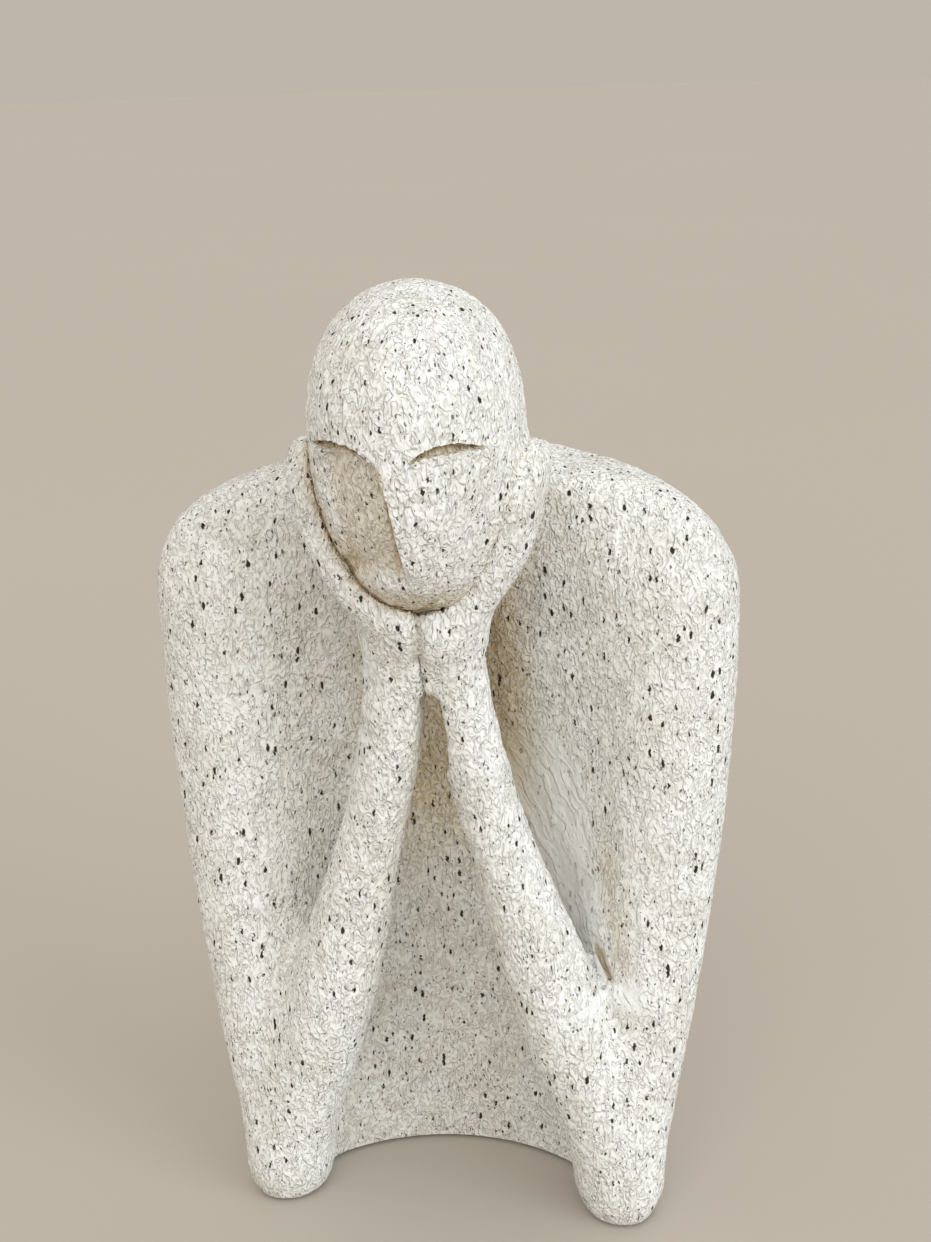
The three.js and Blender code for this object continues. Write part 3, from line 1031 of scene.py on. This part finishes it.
    def _pits(self, sheet: NodeSheet, mm: Socket, kind: PitKind) -> Signal:
        """Upright pits of mixed size.

        Args:
            sheet: The material's nodes.
            mm: The point in millimetres.
            kind: Their size and number.

        Returns:
            1 inside a pit and 0 outside.
        """
        factors = (1.0 / kind.cell, 1.0 / kind.cell, kind.squash / kind.cell)
        upright = sheet.vector("MULTIPLY", sheet.swirled(mm, size=0.8, reach=0.8), factors)
        cells = sheet.node("TexVoronoi", {"feature": "F1"}, {"Vector": upright, "Scale": 1.0})
        away = Signal(sheet, cells.outputs["Distance"])
        draw = Signal(sheet, sheet.node("SeparateColor", {}, {0: cells.outputs["Color"]}).outputs[0])
        size = sheet.step(draw, kind.empty, self.pit_spread) * (kind.radius / kind.cell)
        return sheet.step((size - away) * (kind.cell / kind.radius), 0.0, self.pit_edge)


@dataclass(frozen=True)
class BrushedSteel:
    """Plain drawn steel wire with fine lengthwise scratches."""

    light: Colour = (0.52, 0.53, 0.54)
    dark: Colour = (0.364, 0.371, 0.378)

    def make(self) -> bpy.types.Material:
        """Builds the material."""
        sheet = NodeSheet("drawn_steel")
        drawn = sheet.vector("MULTIPLY", sheet.place(), (1000.0, 1000.0, 120.0))
        streaks = sheet.noise(drawn, size=0.25, detail=3.0, rough=0.7)
        return sheet.finish(
            {
                "Base Color": sheet.colour_mix(streaks, self.light, self.dark),
                "Metallic": 1.0,
                "Roughness": 0.3 + 0.2 * streaks,
                "Normal": sheet.bump(streaks, 0.2 * MM, 0.3),
            }
        )


@dataclass(frozen=True)
class WoolFelt:
    """Thin pressed felt with a fibrous surface."""

    light: Colour = from_srgb(226, 219, 205)
    dark: Colour = from_srgb(188, 178, 160)

    def make(self) -> bpy.types.Material:
        """Builds the material."""
        sheet = NodeSheet("pressed_felt")
        bent = sheet.swirled(sheet.place_mm(), size=0.6, reach=1.4)
        fibres = sheet.noise(bent, size=0.3, detail=4.0, rough=0.7)
        return sheet.finish(
            {
                "Base Color": sheet.colour_mix(sheet.step(fibres, 0.3, 0.7), self.dark, self.light),
                "Roughness": 1.0,
                "Sheen Weight": 0.3,
                "Normal": sheet.bump(fibres, 0.3 * MM, 0.8),
            }
        )


class Finish(Enum):
    """The finishes of the figurine."""

    STONE = StoneCoat()
    STEEL = BrushedSteel()
    FELT = WoolFelt()


# Meshes


class Side(Enum):
    """The figure's own sides."""

    RIGHT = -1
    LEFT = 1


@dataclass(frozen=True)
class Placement:
    """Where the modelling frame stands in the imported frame, in millimetres."""

    back: float
    up: float

    def to_figure(self, metres: Array) -> Array:
        """Points of the modelling frame for points of the scene."""
        return metres / MM - np.array([0.0, self.back, self.up])

    def to_scene(self, figure: Array) -> Array:
        """Points of the scene for points of the modelling frame."""
        return (figure + np.array([0.0, self.back, self.up])) * MM


@dataclass(frozen=True)
class PaintedShade:
    """Painted shade that has its full share near something and is gone further away."""

    share: float
    near: float
    far: float

    def at(self, away: Array) -> Array:
        """Strength of the painted shade at each distance."""
        return self.share * fade(away, self.near, self.far)


def deselect() -> None:
    """Leaves nothing selected."""
    for item in list(bpy.context.selected_objects):
        item.select_set(False)


def activate(item: bpy.types.Object) -> None:
    """Makes one object the only selected and the active one."""
    deselect()
    item.select_set(True)
    bpy.context.view_layer.objects.active = item


def points_of(item: bpy.types.Object) -> Array:
    """Vertex places of a mesh, in metres."""
    flat = np.empty(3 * len(item.data.vertices))
    item.data.vertices.foreach_get("co", flat)
    return flat.reshape(-1, 3)


def set_points(item: bpy.types.Object, places: Array) -> None:
    """Moves the vertices of a mesh to places in metres."""
    item.data.vertices.foreach_set("co", places.ravel())
    item.data.update()


def normals_of(item: bpy.types.Object) -> Array:
    """Vertex normals of a mesh."""
    flat = np.empty(3 * len(item.data.vertices), dtype=np.float32)
    item.data.vertex_normals.foreach_get("vector", flat)
    return flat.reshape(-1, 3).astype(float)


def face_centres_of(item: bpy.types.Object) -> Array:
    """Middles of a mesh's faces, in metres."""
    flat = np.empty(3 * len(item.data.polygons))
    item.data.polygons.foreach_get("center", flat)
    return flat.reshape(-1, 3)


def set_attribute(item: bpy.types.Object, name: str, values: Array) -> None:
    """Stores one number for each vertex."""
    made = item.data.attributes.new(name, "FLOAT", "POINT")
    made.data.foreach_set("value", values.astype(np.float32))


def copy_of_node(name: str, node: str) -> bpy.types.Object:
    """A merged copy of a frame node under a new name.

    Args:
        name: The copy's name.
        node: The frame node.

    Returns:
        The copy.
    """
    merge_distance = 0.00001
    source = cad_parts[node]
    made = bpy.data.objects.new(name, source.data.copy())
    bpy.context.scene.collection.objects.link(made)
    for key in list(made.keys()):
        del made[key]
    activate(made)
    bpy.ops.object.mode_set(mode="EDIT")
    bpy.ops.mesh.select_all(action="SELECT")
    bpy.ops.mesh.remove_doubles(threshold=merge_distance)
    bpy.ops.object.mode_set(mode="OBJECT")
    return made


def apply_modifier(item: bpy.types.Object, kind: str, settings: dict) -> None:
    """Adds a modifier with its settings and applies it.

    Args:
        item: The piece.
        kind: The modifier's type.
        settings: Its properties.
    """
    activate(item)
    bpy.ops.object.modifier_add(type=kind)
    modifier = item.modifiers[-1]
    for name, value in settings.items():
        setattr(modifier, name, value)
    bpy.ops.object.modifier_apply(modifier=modifier.name)


def split_faces(item: bpy.types.Object, chosen: Array) -> None:
    """Splits the chosen faces of a mesh once.

    Args:
        item: The mesh.
        chosen: Whether each face is split.
    """
    activate(item)
    bpy.ops.object.mode_set(mode="EDIT")
    bpy.ops.mesh.select_all(action="DESELECT")
    bpy.ops.object.mode_set(mode="OBJECT")
    item.data.polygons.foreach_set("select", chosen)
    bpy.ops.object.mode_set(mode="EDIT")
    bpy.ops.mesh.select_mode(type="FACE")
    bpy.ops.mesh.subdivide(number_cuts=1)
    bpy.ops.object.mode_set(mode="OBJECT")


def cut_hull(item: bpy.types.Object, balls: list[tuple[Array, float]]) -> None:
    """Takes the hull of some balls out of a closed piece.

    Args:
        item: The piece.
        balls: Centre and radius of each ball, in metres.
    """
    parts = []
    for centre, radius in balls:
        deselect()
        bpy.ops.mesh.primitive_ico_sphere_add(subdivisions=4, radius=radius, location=centre)
        parts.append(bpy.context.active_object)
    for part in parts:
        part.select_set(True)
    bpy.ops.object.join()
    cutter = bpy.context.active_object
    bpy.ops.object.transform_apply(location=True, rotation=True, scale=True)
    bpy.ops.object.mode_set(mode="EDIT")
    bpy.ops.mesh.select_all(action="SELECT")
    bpy.ops.mesh.convex_hull()
    bpy.ops.object.mode_set(mode="OBJECT")
    apply_modifier(item, "BOOLEAN", {"operation": "DIFFERENCE", "solver": "EXACT", "object": cutter})
    bpy.data.objects.remove(cutter)


@dataclass
class Figurine:
    """Everything that the pieces share."""

    placement: Placement
    head: HeadForm
    arm: ArmForm
    body: BodyForm
    relief: CoatRelief
    bare_foot: Pair = (0.2, 1.6)
    skin: float = 0.00003
    crisp_angle: float = math.radians(60.0)
    materials: dict[Finish, bpy.types.Material] = field(default_factory=dict)

    def material(self, finish: Finish) -> bpy.types.Material:
        """The material of a finish, made once."""
        if finish not in self.materials:
            self.materials[finish] = finish.value.make()
        return self.materials[finish]

    def shape(self, piece: bpy.types.Object, figure: Array) -> None:
        """Moves a piece's points to places of the modelling frame."""
        set_points(piece, self.placement.to_scene(figure))

    def coat(self, piece: bpy.types.Object, fine: float) -> None:
        """Lays the coat's relief over a piece and keeps it in the frame's box.

        Args:
            piece: The smooth piece.
            fine: Share of the strokes that its mesh can carry.
        """
        figure = self.placement.to_figure(points_of(piece))
        height = self.relief.height(figure, fine) * smoothstep(figure[:, 2], *self.bare_foot)
        places = self.placement.to_scene(figure + normals_of(piece) * height[:, None])
        low, high = (np.array(corner) for corner in cad_bounds)
        set_points(piece, np.clip(places, low + self.skin, high - self.skin))

    def dress(
        self, piece: bpy.types.Object, node: str, painted_shade: Array, brushed: Array | float = 0.0
    ) -> None:
        """Gives a casting its painted shade and brushed share, its material and its place in the frame.

        Args:
            piece: The coated mesh.
            node: The frame node that it stands for.
            painted_shade: How much painted shade each point has: beige up to 1, brown above 1.
            brushed: How far each point is brushed smooth.
        """
        set_attribute(piece, "painted_shade", painted_shade)
        set_attribute(piece, "brushed", np.broadcast_to(brushed, painted_shade.shape))
        piece.data.materials.clear()
        piece.data.materials.append(self.material(Finish.STONE))
        activate(piece)
        bpy.ops.object.shade_smooth_by_angle(angle=self.crisp_angle)
        deselect()
        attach(piece, "root")
        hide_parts(node)
        triangles = sum(len(face.vertices) - 2 for face in piece.data.polygons)
        log.info("%s: %d triangles", piece.name, triangles)


@dataclass
class Head:
    """The egg-shaped head with its face."""

    figurine: Figurine
    balls: int = 7
    lid_bands: Pair = (1.3, 0.52)
    fillets: dict[Side, Pair] = field(
        default_factory=lambda: {Side.RIGHT: (0.2, 1.5), Side.LEFT: (0.9, 4.5)}
    )
    fillet_sides: Pair = (3.0, 9.0)
    by_right_hand: tuple[PaintedShade, PaintedShade] = (PaintedShade(0.9, 0.2, 7.0), PaintedShade(1.0, 0.2, 1.4))
    by_left_hand: PaintedShade = PaintedShade(0.3, 0.2, 2.6)
    under_lid: PaintedShade = PaintedShade(0.9, 0.1, 1.5)
    hand_sides: Pair = (1.0, 11.0)
    front: Pair = (0.0, 6.0)
    chin: Pair = (27.0, 33.0)
    chin_shade: float = 0.7
    nose_shade: float = 1.1
    cheek: Pair = (0.8, 2.0)
    cheek_shade: float = 0.5
    darkest_painted_shade: float = 1.9

    def build(self) -> bpy.types.Object:
        """Shapes, coats and dresses the head."""
        form = self.figurine.head
        deselect()
        bpy.ops.mesh.primitive_ico_sphere_add(subdivisions=self.balls, radius=1.0)
        piece = bpy.context.active_object
        piece.name = piece.data.name = "head_coat"
        for band in self.lid_bands:
            self._split_lids(piece, band)
        toward = points_of(piece)
        toward /= np.linalg.norm(toward, axis=1)[:, None]
        egg = form.egg(toward)
        reach = np.linalg.norm(egg, axis=1)
        cut = form.eye_cut(egg)
        depth = form.face_depth(egg)
        inward = np.maximum(depth, depth * (1.0 - cut) + form.eye_depth * cut)
        flat = form.placed(egg * (1.0 - inward / reach)[:, None])
        away = {side: self.figurine.arm.distance(flat, side.value) for side in Side}
        for side, (height, width) in self.fillets.items():
            here = smoothstep(side.value * flat[:, 0], *self.fillet_sides)
            inward -= height * here * np.clip(1.0 - away[side] / width, 0.0, 1.0) ** 2
        own = egg * (1.0 - inward / reach)[:, None]
        self.figurine.shape(piece, form.placed(own))
        self.figurine.coat(piece, 1.0)

        # Painted shade: beige to brown in the crease along each hand, on the nose's right flank, on the
        # sunk cheeks, under the chin and in the eye slits, darkest just under the upper lids.
        rightward = fade(flat[:, 0], *self.hand_sides)
        wide, narrow = (shade_paint.at(away[Side.RIGHT]) for shade_paint in self.by_right_hand)
        by_left = self.by_left_hand.at(away[Side.LEFT]) * (1.0 - rightward)
        by_hands = np.maximum((wide + narrow) * rightward, by_left)
        face = self.nose_shade * form.nose_crease(egg) + self.cheek_shade * smoothstep(depth, *self.cheek)
        front = smoothstep(-own[:, 1], *self.front)
        chin = self.chin_shade * smoothstep(-own[:, 2], *self.chin)
        below, _ = form.eye_heights(egg)
        lid = cut * (1.0 + self.under_lid.at(below))
        shade_paint = np.clip(np.maximum((by_hands + face) * front, chin) + lid, 0.0, self.darkest_painted_shade)
        self.figurine.dress(piece, "head_casting", shade_paint)
        return piece

    def _split_lids(self, piece: bpy.types.Object, band: float) -> None:
        """Splits the faces along the lids, so that the slits come out crisp.

        Args:
            piece: The unit ball.
            band: How far from a lid a face may be.
        """
        form = self.figurine.head
        toward = face_centres_of(piece)
        toward /= np.linalg.norm(toward, axis=1)[:, None]
        below, above = form.eye_heights(form.egg(toward))
        inside = np.minimum(below, above) > -band
        split_faces(piece, inside & (np.minimum(np.abs(below), np.abs(above)) < band))


@dataclass
class Arm:
    """One forearm with its hand."""

    figurine: Figurine
    side: Side
    voxel: float = 0.00043
    tuck: float = 0.35
    core: float = 5.5
    end: Pair = (0.3, 1.5)
    inside: float = 3.4
    outside: float = 7.0
    notch_run: Pair = (-40.0, 20.0)
    by_head: dict[Side, PaintedShade] = field(
        default_factory=lambda: {Side.RIGHT: PaintedShade(0.75, 0.2, 2.2), Side.LEFT: PaintedShade(0.3, 0.2, 2.2)}
    )
    crease: PaintedShade = PaintedShade(1.0, 0.3, 2.0)
    crease_foot: Pair = (128.0, 131.0)
    facing: Pair = (0.35, 0.9)
    facing_top: Pair = (124.0, 130.0)
    facing_fall: float = 0.8
    wrist_shade: float = 0.2

    def build(self) -> bpy.types.Object:
        """Remeshes, shapes, coats and dresses the arm."""
        form, sign = self.figurine.arm, self.side.value
        label = self.side.name.lower()
        mirror = np.array([sign, 1.0, 1.0])
        piece = copy_of_node(f"{label}_forearm_coat", f"{label}_forearm_casting")
        self._cut_notch(piece)
        apply_modifier(piece, "REMESH", {"mode": "VOXEL", "voxel_size": self.voxel})
        mirrored = self.figurine.placement.to_figure(points_of(piece)) * mirror
        centre, along = form.joint()
        near = np.linalg.norm(mirrored - centre, axis=1) < 2.0 * form.forearm_radius
        at_end = fade(form.past_joint(mirrored), *self.end)
        mirrored -= np.where(near, form.tail * at_end, 0.0)[:, None] * along
        bore = near & (form.limb().distance(mirrored) < -self.core)
        figure = mirrored * mirror
        shown: Form = lambda at: form.closed(at, sign, self.tuck)
        drawn = drawn_onto(shown, figure, self.inside, self.outside)
        figure = np.where(bore[:, None], figure, drawn)
        self.figurine.shape(piece, figure)
        self.figurine.coat(piece, 1.0)

        # Painted shade: beige near the head, in the crease between the wrists, and on the sides that
        # face the other arm below them.
        height = figure[:, 2]
        middle = self.crease.at(np.abs(form.beside_crease(figure)))
        middle = middle * form.crease_share(figure) * smoothstep(height, *self.crease_foot)
        inward = smoothstep(-sign * normals_of(piece)[:, 0], *self.facing)
        inward *= 1.0 - self.facing_fall * smoothstep(height, *self.facing_top)
        by_head = self.by_head[self.side].at(self.figurine.head.surface(figure))
        shade_paint = np.clip(by_head + self.wrist_shade * np.maximum(middle, inward), 0.0, 1.0)
        self.figurine.dress(piece, f"{label}_forearm_casting", shade_paint)
        return piece

    def _cut_notch(self, piece: bpy.types.Object) -> None:
        """Takes the gap below the wrists out of the merged copy.

        Args:
            piece: The merged copy of the forearm.
        """
        form, to_scene = self.figurine.arm, self.figurine.placement.to_scene
        ends = zip((form.notch_top, form.notch_foot), form.notch_radii)
        balls = [((x, y, z), radius) for (x, z), radius in ends for y in self.notch_run]
        cut_hull(piece, [(to_scene(np.array(centre)), radius * MM) for centre, radius in balls])


@dataclass
class Body:
    """The cloak-like body with the shoulders, elbows and neck."""

    figurine: Figurine
    voxel: float = 0.00092
    inside: float = 2.6
    first_outside: float = 9.0
    outside: float = 2.6
    coat_share: float = 0.8
    plug: float = 15.0
    plug_below: float = 2.0
    plug_gap: float = 0.2
    brushed_heights: tuple[float, ...] = (57.0, 65.0, 75.0, 92.0, 105.0, 119.0)
    brushed_edge: tuple[float, ...] = (37.0, 35.8, 33.8, 31.2, 29.2, 28.3)
    smear: Point = (40.5, 0.5, 55.5)
    slit_top: Point = (32.8, 5.7, 65.4)
    slit_foot: Point = (37.0, 1.5, 57.8)
    slit_inward: Point = (-0.09, 0.87, -0.48)
    slit_depth: float = 3.0
    slit_half_width: float = 0.65
    slit_reach: float = 5.0
    slit_bands: Pair = (3.4, 2.4)
    slit_shade: float = 1.25
    slit_head: Pair = (-0.1, 0.25)
    slit_end: Pair = (0.75, 1.1)
    by_others: PaintedShade = PaintedShade(1.0, 0.4, 12.0)
    by_others_foot: Pair = (75.0, 115.0)
    nape_fall: float = 0.8
    nape_foot: Pair = (148.0, 160.0)
    nape_front: Pair = (0.0, 12.0)
    behind_shade: float = 1.3
    behind_front: Pair = (6.0, 16.0)
    behind_back: Pair = (30.0, 36.0)
    behind_sides: Pair = (9.0, 24.0)
    behind_foot: Pair = (62.0, 108.0)
    behind_top: Pair = (146.0, 156.0)
    lip_shade: float = 0.45
    lip_offset: float = 3.0
    lip_width: float = 2.5
    lip_foot: Pair = (56.0, 62.0)
    lip_top: Pair = (84.0, 95.0)
    lip_back: float = 20.0
    hollow_shade: float = 0.16
    hollow_facing: Pair = (0.0, 0.5)
    hollow_front: Pair = (2.0, 14.0)
    hollow_side: Pair = (8.0, 20.0)
    hollow_top: Pair = (140.0, 160.0)
    darkest_painted_shade: float = 1.35
    valley_inner: Pair = (8.0, 14.0)
    valley_outer: Pair = (-2.2, 1.8)
    valley_foot: Pair = (50.0, 56.0)
    valley_top: Pair = (98.0, 118.0)
    valley_back: float = 30.0
    smear_edge: Pair = (2.0, 6.0)

    def build(self) -> bpy.types.Object:
        """Remeshes, shapes, coats and dresses the body."""
        piece = copy_of_node("body_coat", "body_casting")
        self._plug_seats(piece)
        for outside in (self.first_outside, self.outside):
            apply_modifier(piece, "REMESH", {"mode": "VOXEL", "voxel_size": self.voxel})
            self._draw(piece, outside)
        self._split_slit(piece)
        figure = self._draw(piece, self.outside)
        self.figurine.coat(piece, self.coat_share)
        slit, inward = self._slit(figure)
        set_points(piece, points_of(piece) + (self.slit_depth * MM) * slit[:, None] * inward)
        # The slit's inside is painted beige to brown as shade, on top of its real depth.
        painted_shade = np.maximum(self._painted_shade(figure, normals_of(piece)), self.slit_shade * slit)
        self.figurine.dress(piece, "body_casting", painted_shade, self._brushed(figure))
        return piece

    def _draw(self, piece: bpy.types.Object, outside: float) -> Array:
        """Draws the piece's points onto the body's form and returns them.

        Args:
            piece: The body so far.
            outside: How far outside the form a point may start.

        Returns:
            The points in the figurine's frame.
        """
        start = self.figurine.placement.to_figure(points_of(piece))
        figure = drawn_onto(self.figurine.body.distance, start, self.inside, outside)
        figure[:, 2] = np.maximum(figure[:, 2], 0.0)
        self.figurine.shape(piece, figure)
        return figure

    def _painted_shade(self, figure: Array, normals: Array) -> Array:
        """How much beige painted shade the body has: near the other castings, in the hollow and along
        the brushed edge.

        Args:
            figure: Points of the figurine's frame.
            normals: The mesh's normals there.

        Returns:
            The painted shade at each point, above 1 where it is brown.
        """
        x, y, z = figure.T
        others = [self.figurine.head.distance(figure)]
        others += [self.figurine.arm.distance(figure, side.value) for side in Side]
        near = self.by_others.at(np.min(others, axis=0)) * smoothstep(z, *self.by_others_foot)
        nape = self.nape_fall * smoothstep(z, *self.nape_foot) * smoothstep(y, *self.nape_front)
        near *= 1.0 - nape
        behind = smoothstep(y, *self.behind_front) * fade(y, *self.behind_back)
        behind = behind * fade(np.abs(x), *self.behind_sides) * smoothstep(z, *self.behind_foot)
        behind *= fade(z, *self.behind_top)
        lip = np.exp(-(((x - self._edge(z) - self.lip_offset) / self.lip_width) ** 2))
        lip = lip * smoothstep(z, *self.lip_foot)
        lip *= fade(z, *self.lip_top) * (y < self.lip_back)
        facing = smoothstep(-normals[:, 1], *self.hollow_facing) * smoothstep(y, *self.hollow_front)
        hollow = mix(self.hollow_shade, 0.0, smoothstep(x, *self.hollow_side))
        hollow = hollow * facing * fade(z, *self.hollow_top)
        shade_paint = near + self.behind_shade * behind + self.lip_shade * lip + hollow
        return np.clip(shade_paint, 0.0, self.darkest_painted_shade)

    def _edge(self, height: Array) -> Array:
        """Where the brushed valley ends towards the shoulder, at each height."""
        return np.interp(height, self.brushed_heights, self.brushed_edge)

    def _brushed(self, figure: Array) -> Array:
        """Where the valley beside the left forearm was brushed smooth.

        Args:
            figure: Points of the figurine's frame.

        Returns:
            The share at each point, from 0 to 1.
        """
        x, y, z = figure.T
        across = smoothstep(x, *self.valley_inner) * fade(x - self._edge(z), *self.valley_outer)
        along = smoothstep(z, *self.valley_foot) * fade(z, *self.valley_top)
        smear = np.linalg.norm(figure - np.array(self.smear), axis=1)
        return np.maximum(across * along * (y < self.valley_back), fade(smear, *self.smear_edge))

    def _slit(self, figure: Array) -> tuple[Array, Array]:
        """Narrow slit beside the left forearm.

        Args:
            figure: Points of the figurine's frame.

        Returns:
            The share of its depth at each point, and the direction in which it goes in.
        """
        top, foot = np.array(self.slit_top), np.array(self.slit_foot)
        length = np.linalg.norm(foot - top)
        along = (foot - top) / length
        inward = np.array(self.slit_inward)
        inward = inward - (inward @ along) * along
        inward /= np.linalg.norm(inward)
        away = figure - top
        share = away @ along / length
        beside = away @ np.cross(along, inward) / self.slit_half_width
        ends = smoothstep(share, *self.slit_head) * fade(share, *self.slit_end)
        return ends * np.exp(-(beside**2)) * (np.abs(away @ inward) < self.slit_reach), inward

    def _split_slit(self, piece: bpy.types.Object) -> None:
        """Splits the faces round the slit, so that it comes out crisp.

        Args:
            piece: The remeshed body.
        """
        rod = Limb(np.array([self.slit_top, self.slit_foot]), np.zeros(2))
        for band in self.slit_bands:
            centres = self.figurine.placement.to_figure(face_centres_of(piece))
            split_faces(piece, rod.distance(centres) < band)

    def _plug_seats(self, piece: bpy.types.Object) -> None:
        """Fills the forearm seats, so that the elbows run on under the forearms.

        Args:
            piece: The merged copy of the body.
        """
        centre, along = self.figurine.arm.joint()
        for side in Side:
            mirror = np.array([side.value, 1.0, 1.0])
            axis = Vector(along * mirror)
            middle = (centre + along * (self.plug - self.plug_below) / 2.0) * mirror
            deselect()
            bpy.ops.mesh.primitive_cylinder_add(
                vertices=48,
                radius=(self.figurine.arm.forearm_radius - self.plug_gap) * MM,
                depth=(self.plug + self.plug_below) * MM,
                location=self.figurine.placement.to_scene(middle[None, :])[0],
                rotation=axis.to_track_quat("Z", "Y").to_euler(),
            )
            plug = bpy.context.active_object
            bpy.ops.object.transform_apply(location=True, rotation=True, scale=True)
            activate(piece)
            plug.select_set(True)
            bpy.ops.object.join()


@dataclass
class HiddenHardware:
    """The dowels inside the joints and the felt pads underneath, carried over from the frame."""

    figurine: Figurine
    dowels: tuple[str, ...] = ("neck_dowel", "right_elbow_dowel", "left_elbow_dowel")
    pads: tuple[str, ...] = ("right_elbow_pad", "left_elbow_pad", "right_back_pad", "left_back_pad")

    def build(self) -> None:
        """Gives the carried-over nodes their materials."""
        for names, finish in ((self.dowels, Finish.STEEL), (self.pads, Finish.FELT)):
            for name in names:
                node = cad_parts[name]
                node.data.materials.clear()
                node.data.materials.append(self.figurine.material(finish))
                log.info("%s: carried over with %s", name, finish.name.lower())


# Floor, light and camera


@dataclass(frozen=True)
class Lamp:
    """A far lamp: bearing from straight in front towards the figure's left, and height, in degrees."""

    name: str
    strength: float
    bearing: float
    height: float
    colour: Colour

    def toward(self) -> Vector:
        """Direction from the figurine to the lamp."""
        bearing, height = math.radians(self.bearing), math.radians(self.height)
        level = math.cos(height)
        return Vector((math.sin(bearing) * level, -math.cos(bearing) * level, math.sin(height)))


@dataclass
class Studio:
    """A plain pale floor with soft light from the figure's left and from the front above."""

    floor_radius: float = 6.0
    floor_colour: Colour = from_srgb(193, 185, 175)
    floor_shade: float = 0.97
    backdrop: Colour = from_srgb(190, 182, 171)
    sky: Colour = (0.765, 0.735, 0.68)
    softness: float = math.radians(45.0)
    lamps: tuple[Lamp, ...] = (
        Lamp("window", 1.22, 60.0, 20.0, (0.84, 0.935, 1.0)),
        Lamp("front", 0.66, 0.0, 40.0, (0.975, 0.995, 0.96)),
    )

    def build(self) -> None:
        """Adds the floor, the world and the lamps."""
        deselect()
        bpy.ops.mesh.primitive_circle_add(vertices=96, radius=self.floor_radius, fill_type="NGON")
        floor = bpy.context.active_object
        floor.name = "floor"
        sheet = NodeSheet("pale_floor")
        cloud = sheet.noise(sheet.place(), size=0.35, detail=2.0)
        darker = tuple(c * self.floor_shade for c in self.floor_colour)
        inputs = {
            "Base Color": sheet.colour_mix(cloud, self.floor_colour, darker),
            "Roughness": 0.8,
            "Specular IOR Level": 0.2,
        }
        floor.data.materials.append(sheet.finish(inputs))
        self._world()
        for lamp in self.lamps:
            self._hang(lamp)

    def _world(self) -> None:
        """Even warm sky, with a pale backdrop for what the camera sees past the floor."""
        world = bpy.data.worlds.new("studio")
        bpy.context.scene.world = world
        world.use_nodes = True
        tree = world.node_tree
        tree.nodes.clear()
        path = tree.nodes.new("ShaderNodeLightPath")
        seen = tree.nodes.new("ShaderNodeMath")
        seen.operation = "MAXIMUM"
        for number, ray in enumerate(("Is Camera Ray", "Is Glossy Ray")):
            tree.links.new(path.outputs[ray], seen.inputs[number])
        both = tree.nodes.new("ShaderNodeMixShader")
        tree.links.new(seen.outputs[0], both.inputs[0])
        for number, colour in enumerate((self.sky, self.backdrop), start=1):
            shade = tree.nodes.new("ShaderNodeBackground")
            shade.inputs["Color"].default_value = (*colour, 1.0)
            shade.inputs["Strength"].default_value = 1.0
            tree.links.new(shade.outputs[0], both.inputs[number])
        output = tree.nodes.new("ShaderNodeOutputWorld")
        tree.links.new(both.outputs[0], output.inputs["Surface"])

    def _hang(self, lamp: Lamp) -> None:
        """Adds a lamp to the scene.

        Args:
            lamp: Its place, strength and colour.
        """
        light = bpy.data.lights.new(lamp.name, "SUN")
        light.energy = lamp.strength
        light.angle = self.softness
        light.color = lamp.colour
        item = bpy.data.objects.new(lamp.name, light)
        item.rotation_euler = lamp.toward().to_track_quat("Z", "Y").to_euler()
        bpy.context.scene.collection.objects.link(item)


@dataclass
class PhotoCamera:
    """The camera of the photograph, in the figurine's frame."""

    placement: Placement
    focal_pixels: float = 1900.0
    long_side: float = 1242.0
    yaw: float = math.radians(10.0)
    pitch: float = math.radians(18.0)
    roll: float = math.radians(1.6)
    aside: float = 7.16
    distance: float = 370.5
    height: float = 259.8
    clip: Pair = (0.01, 50.0)

    def build(self) -> None:
        """Adds the camera and makes it the scene's."""
        c, s = math.cos(self.yaw), math.sin(self.yaw)
        along_x = self.aside * c + self.distance * s
        along_y = self.aside * s - self.distance * c
        place = self.placement.to_scene(np.array([along_x, along_y, self.height]))
        level = math.cos(self.pitch)
        ahead = Vector((-s * level, c * level, -math.sin(self.pitch)))
        right = ahead.cross(Vector((0.0, 0.0, 1.0))).normalized()
        up = right.cross(ahead)
        cr, sr = math.cos(self.roll), math.sin(self.roll)
        across, upward = right * cr - up * sr, up * cr + right * sr
        data = bpy.data.cameras.new("photo_camera")
        data.sensor_width = 36.0
        data.lens = self.focal_pixels / self.long_side * data.sensor_width
        data.clip_start, data.clip_end = self.clip
        camera = bpy.data.objects.new("photo_camera", data)
        turned = Matrix((across, upward, -ahead)).transposed().to_4x4()
        camera.matrix_world = Matrix.Translation(Vector(place)) @ turned
        bpy.context.scene.collection.objects.link(camera)
        bpy.context.scene.camera = camera


def main() -> None:
    """Builds the figurine piece by piece, then the studio around it."""
    logging.basicConfig(level=logging.INFO, format="%(name)s: %(message)s")
    bpy.context.scene.view_settings.view_transform = "Standard"
    head = HeadForm()
    arm = ArmForm(head)
    low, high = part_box("left_elbow_pad")
    pad_middle = (low.y + high.y) / 2 / MM
    placement = Placement(back=pad_middle - arm.elbow[1], up=low.z / MM - PAD_FOOT)
    figurine = Figurine(placement, head, arm, BodyForm(head, arm), CoatRelief())

    PhotoCamera(placement).build()
    Body(figurine).build()
    Head(figurine).build()
    for side in Side:
        Arm(figurine, side).build()
    HiddenHardware(figurine).build()
    Studio().build()
    deselect()


if __name__ == "__main__":
    main()
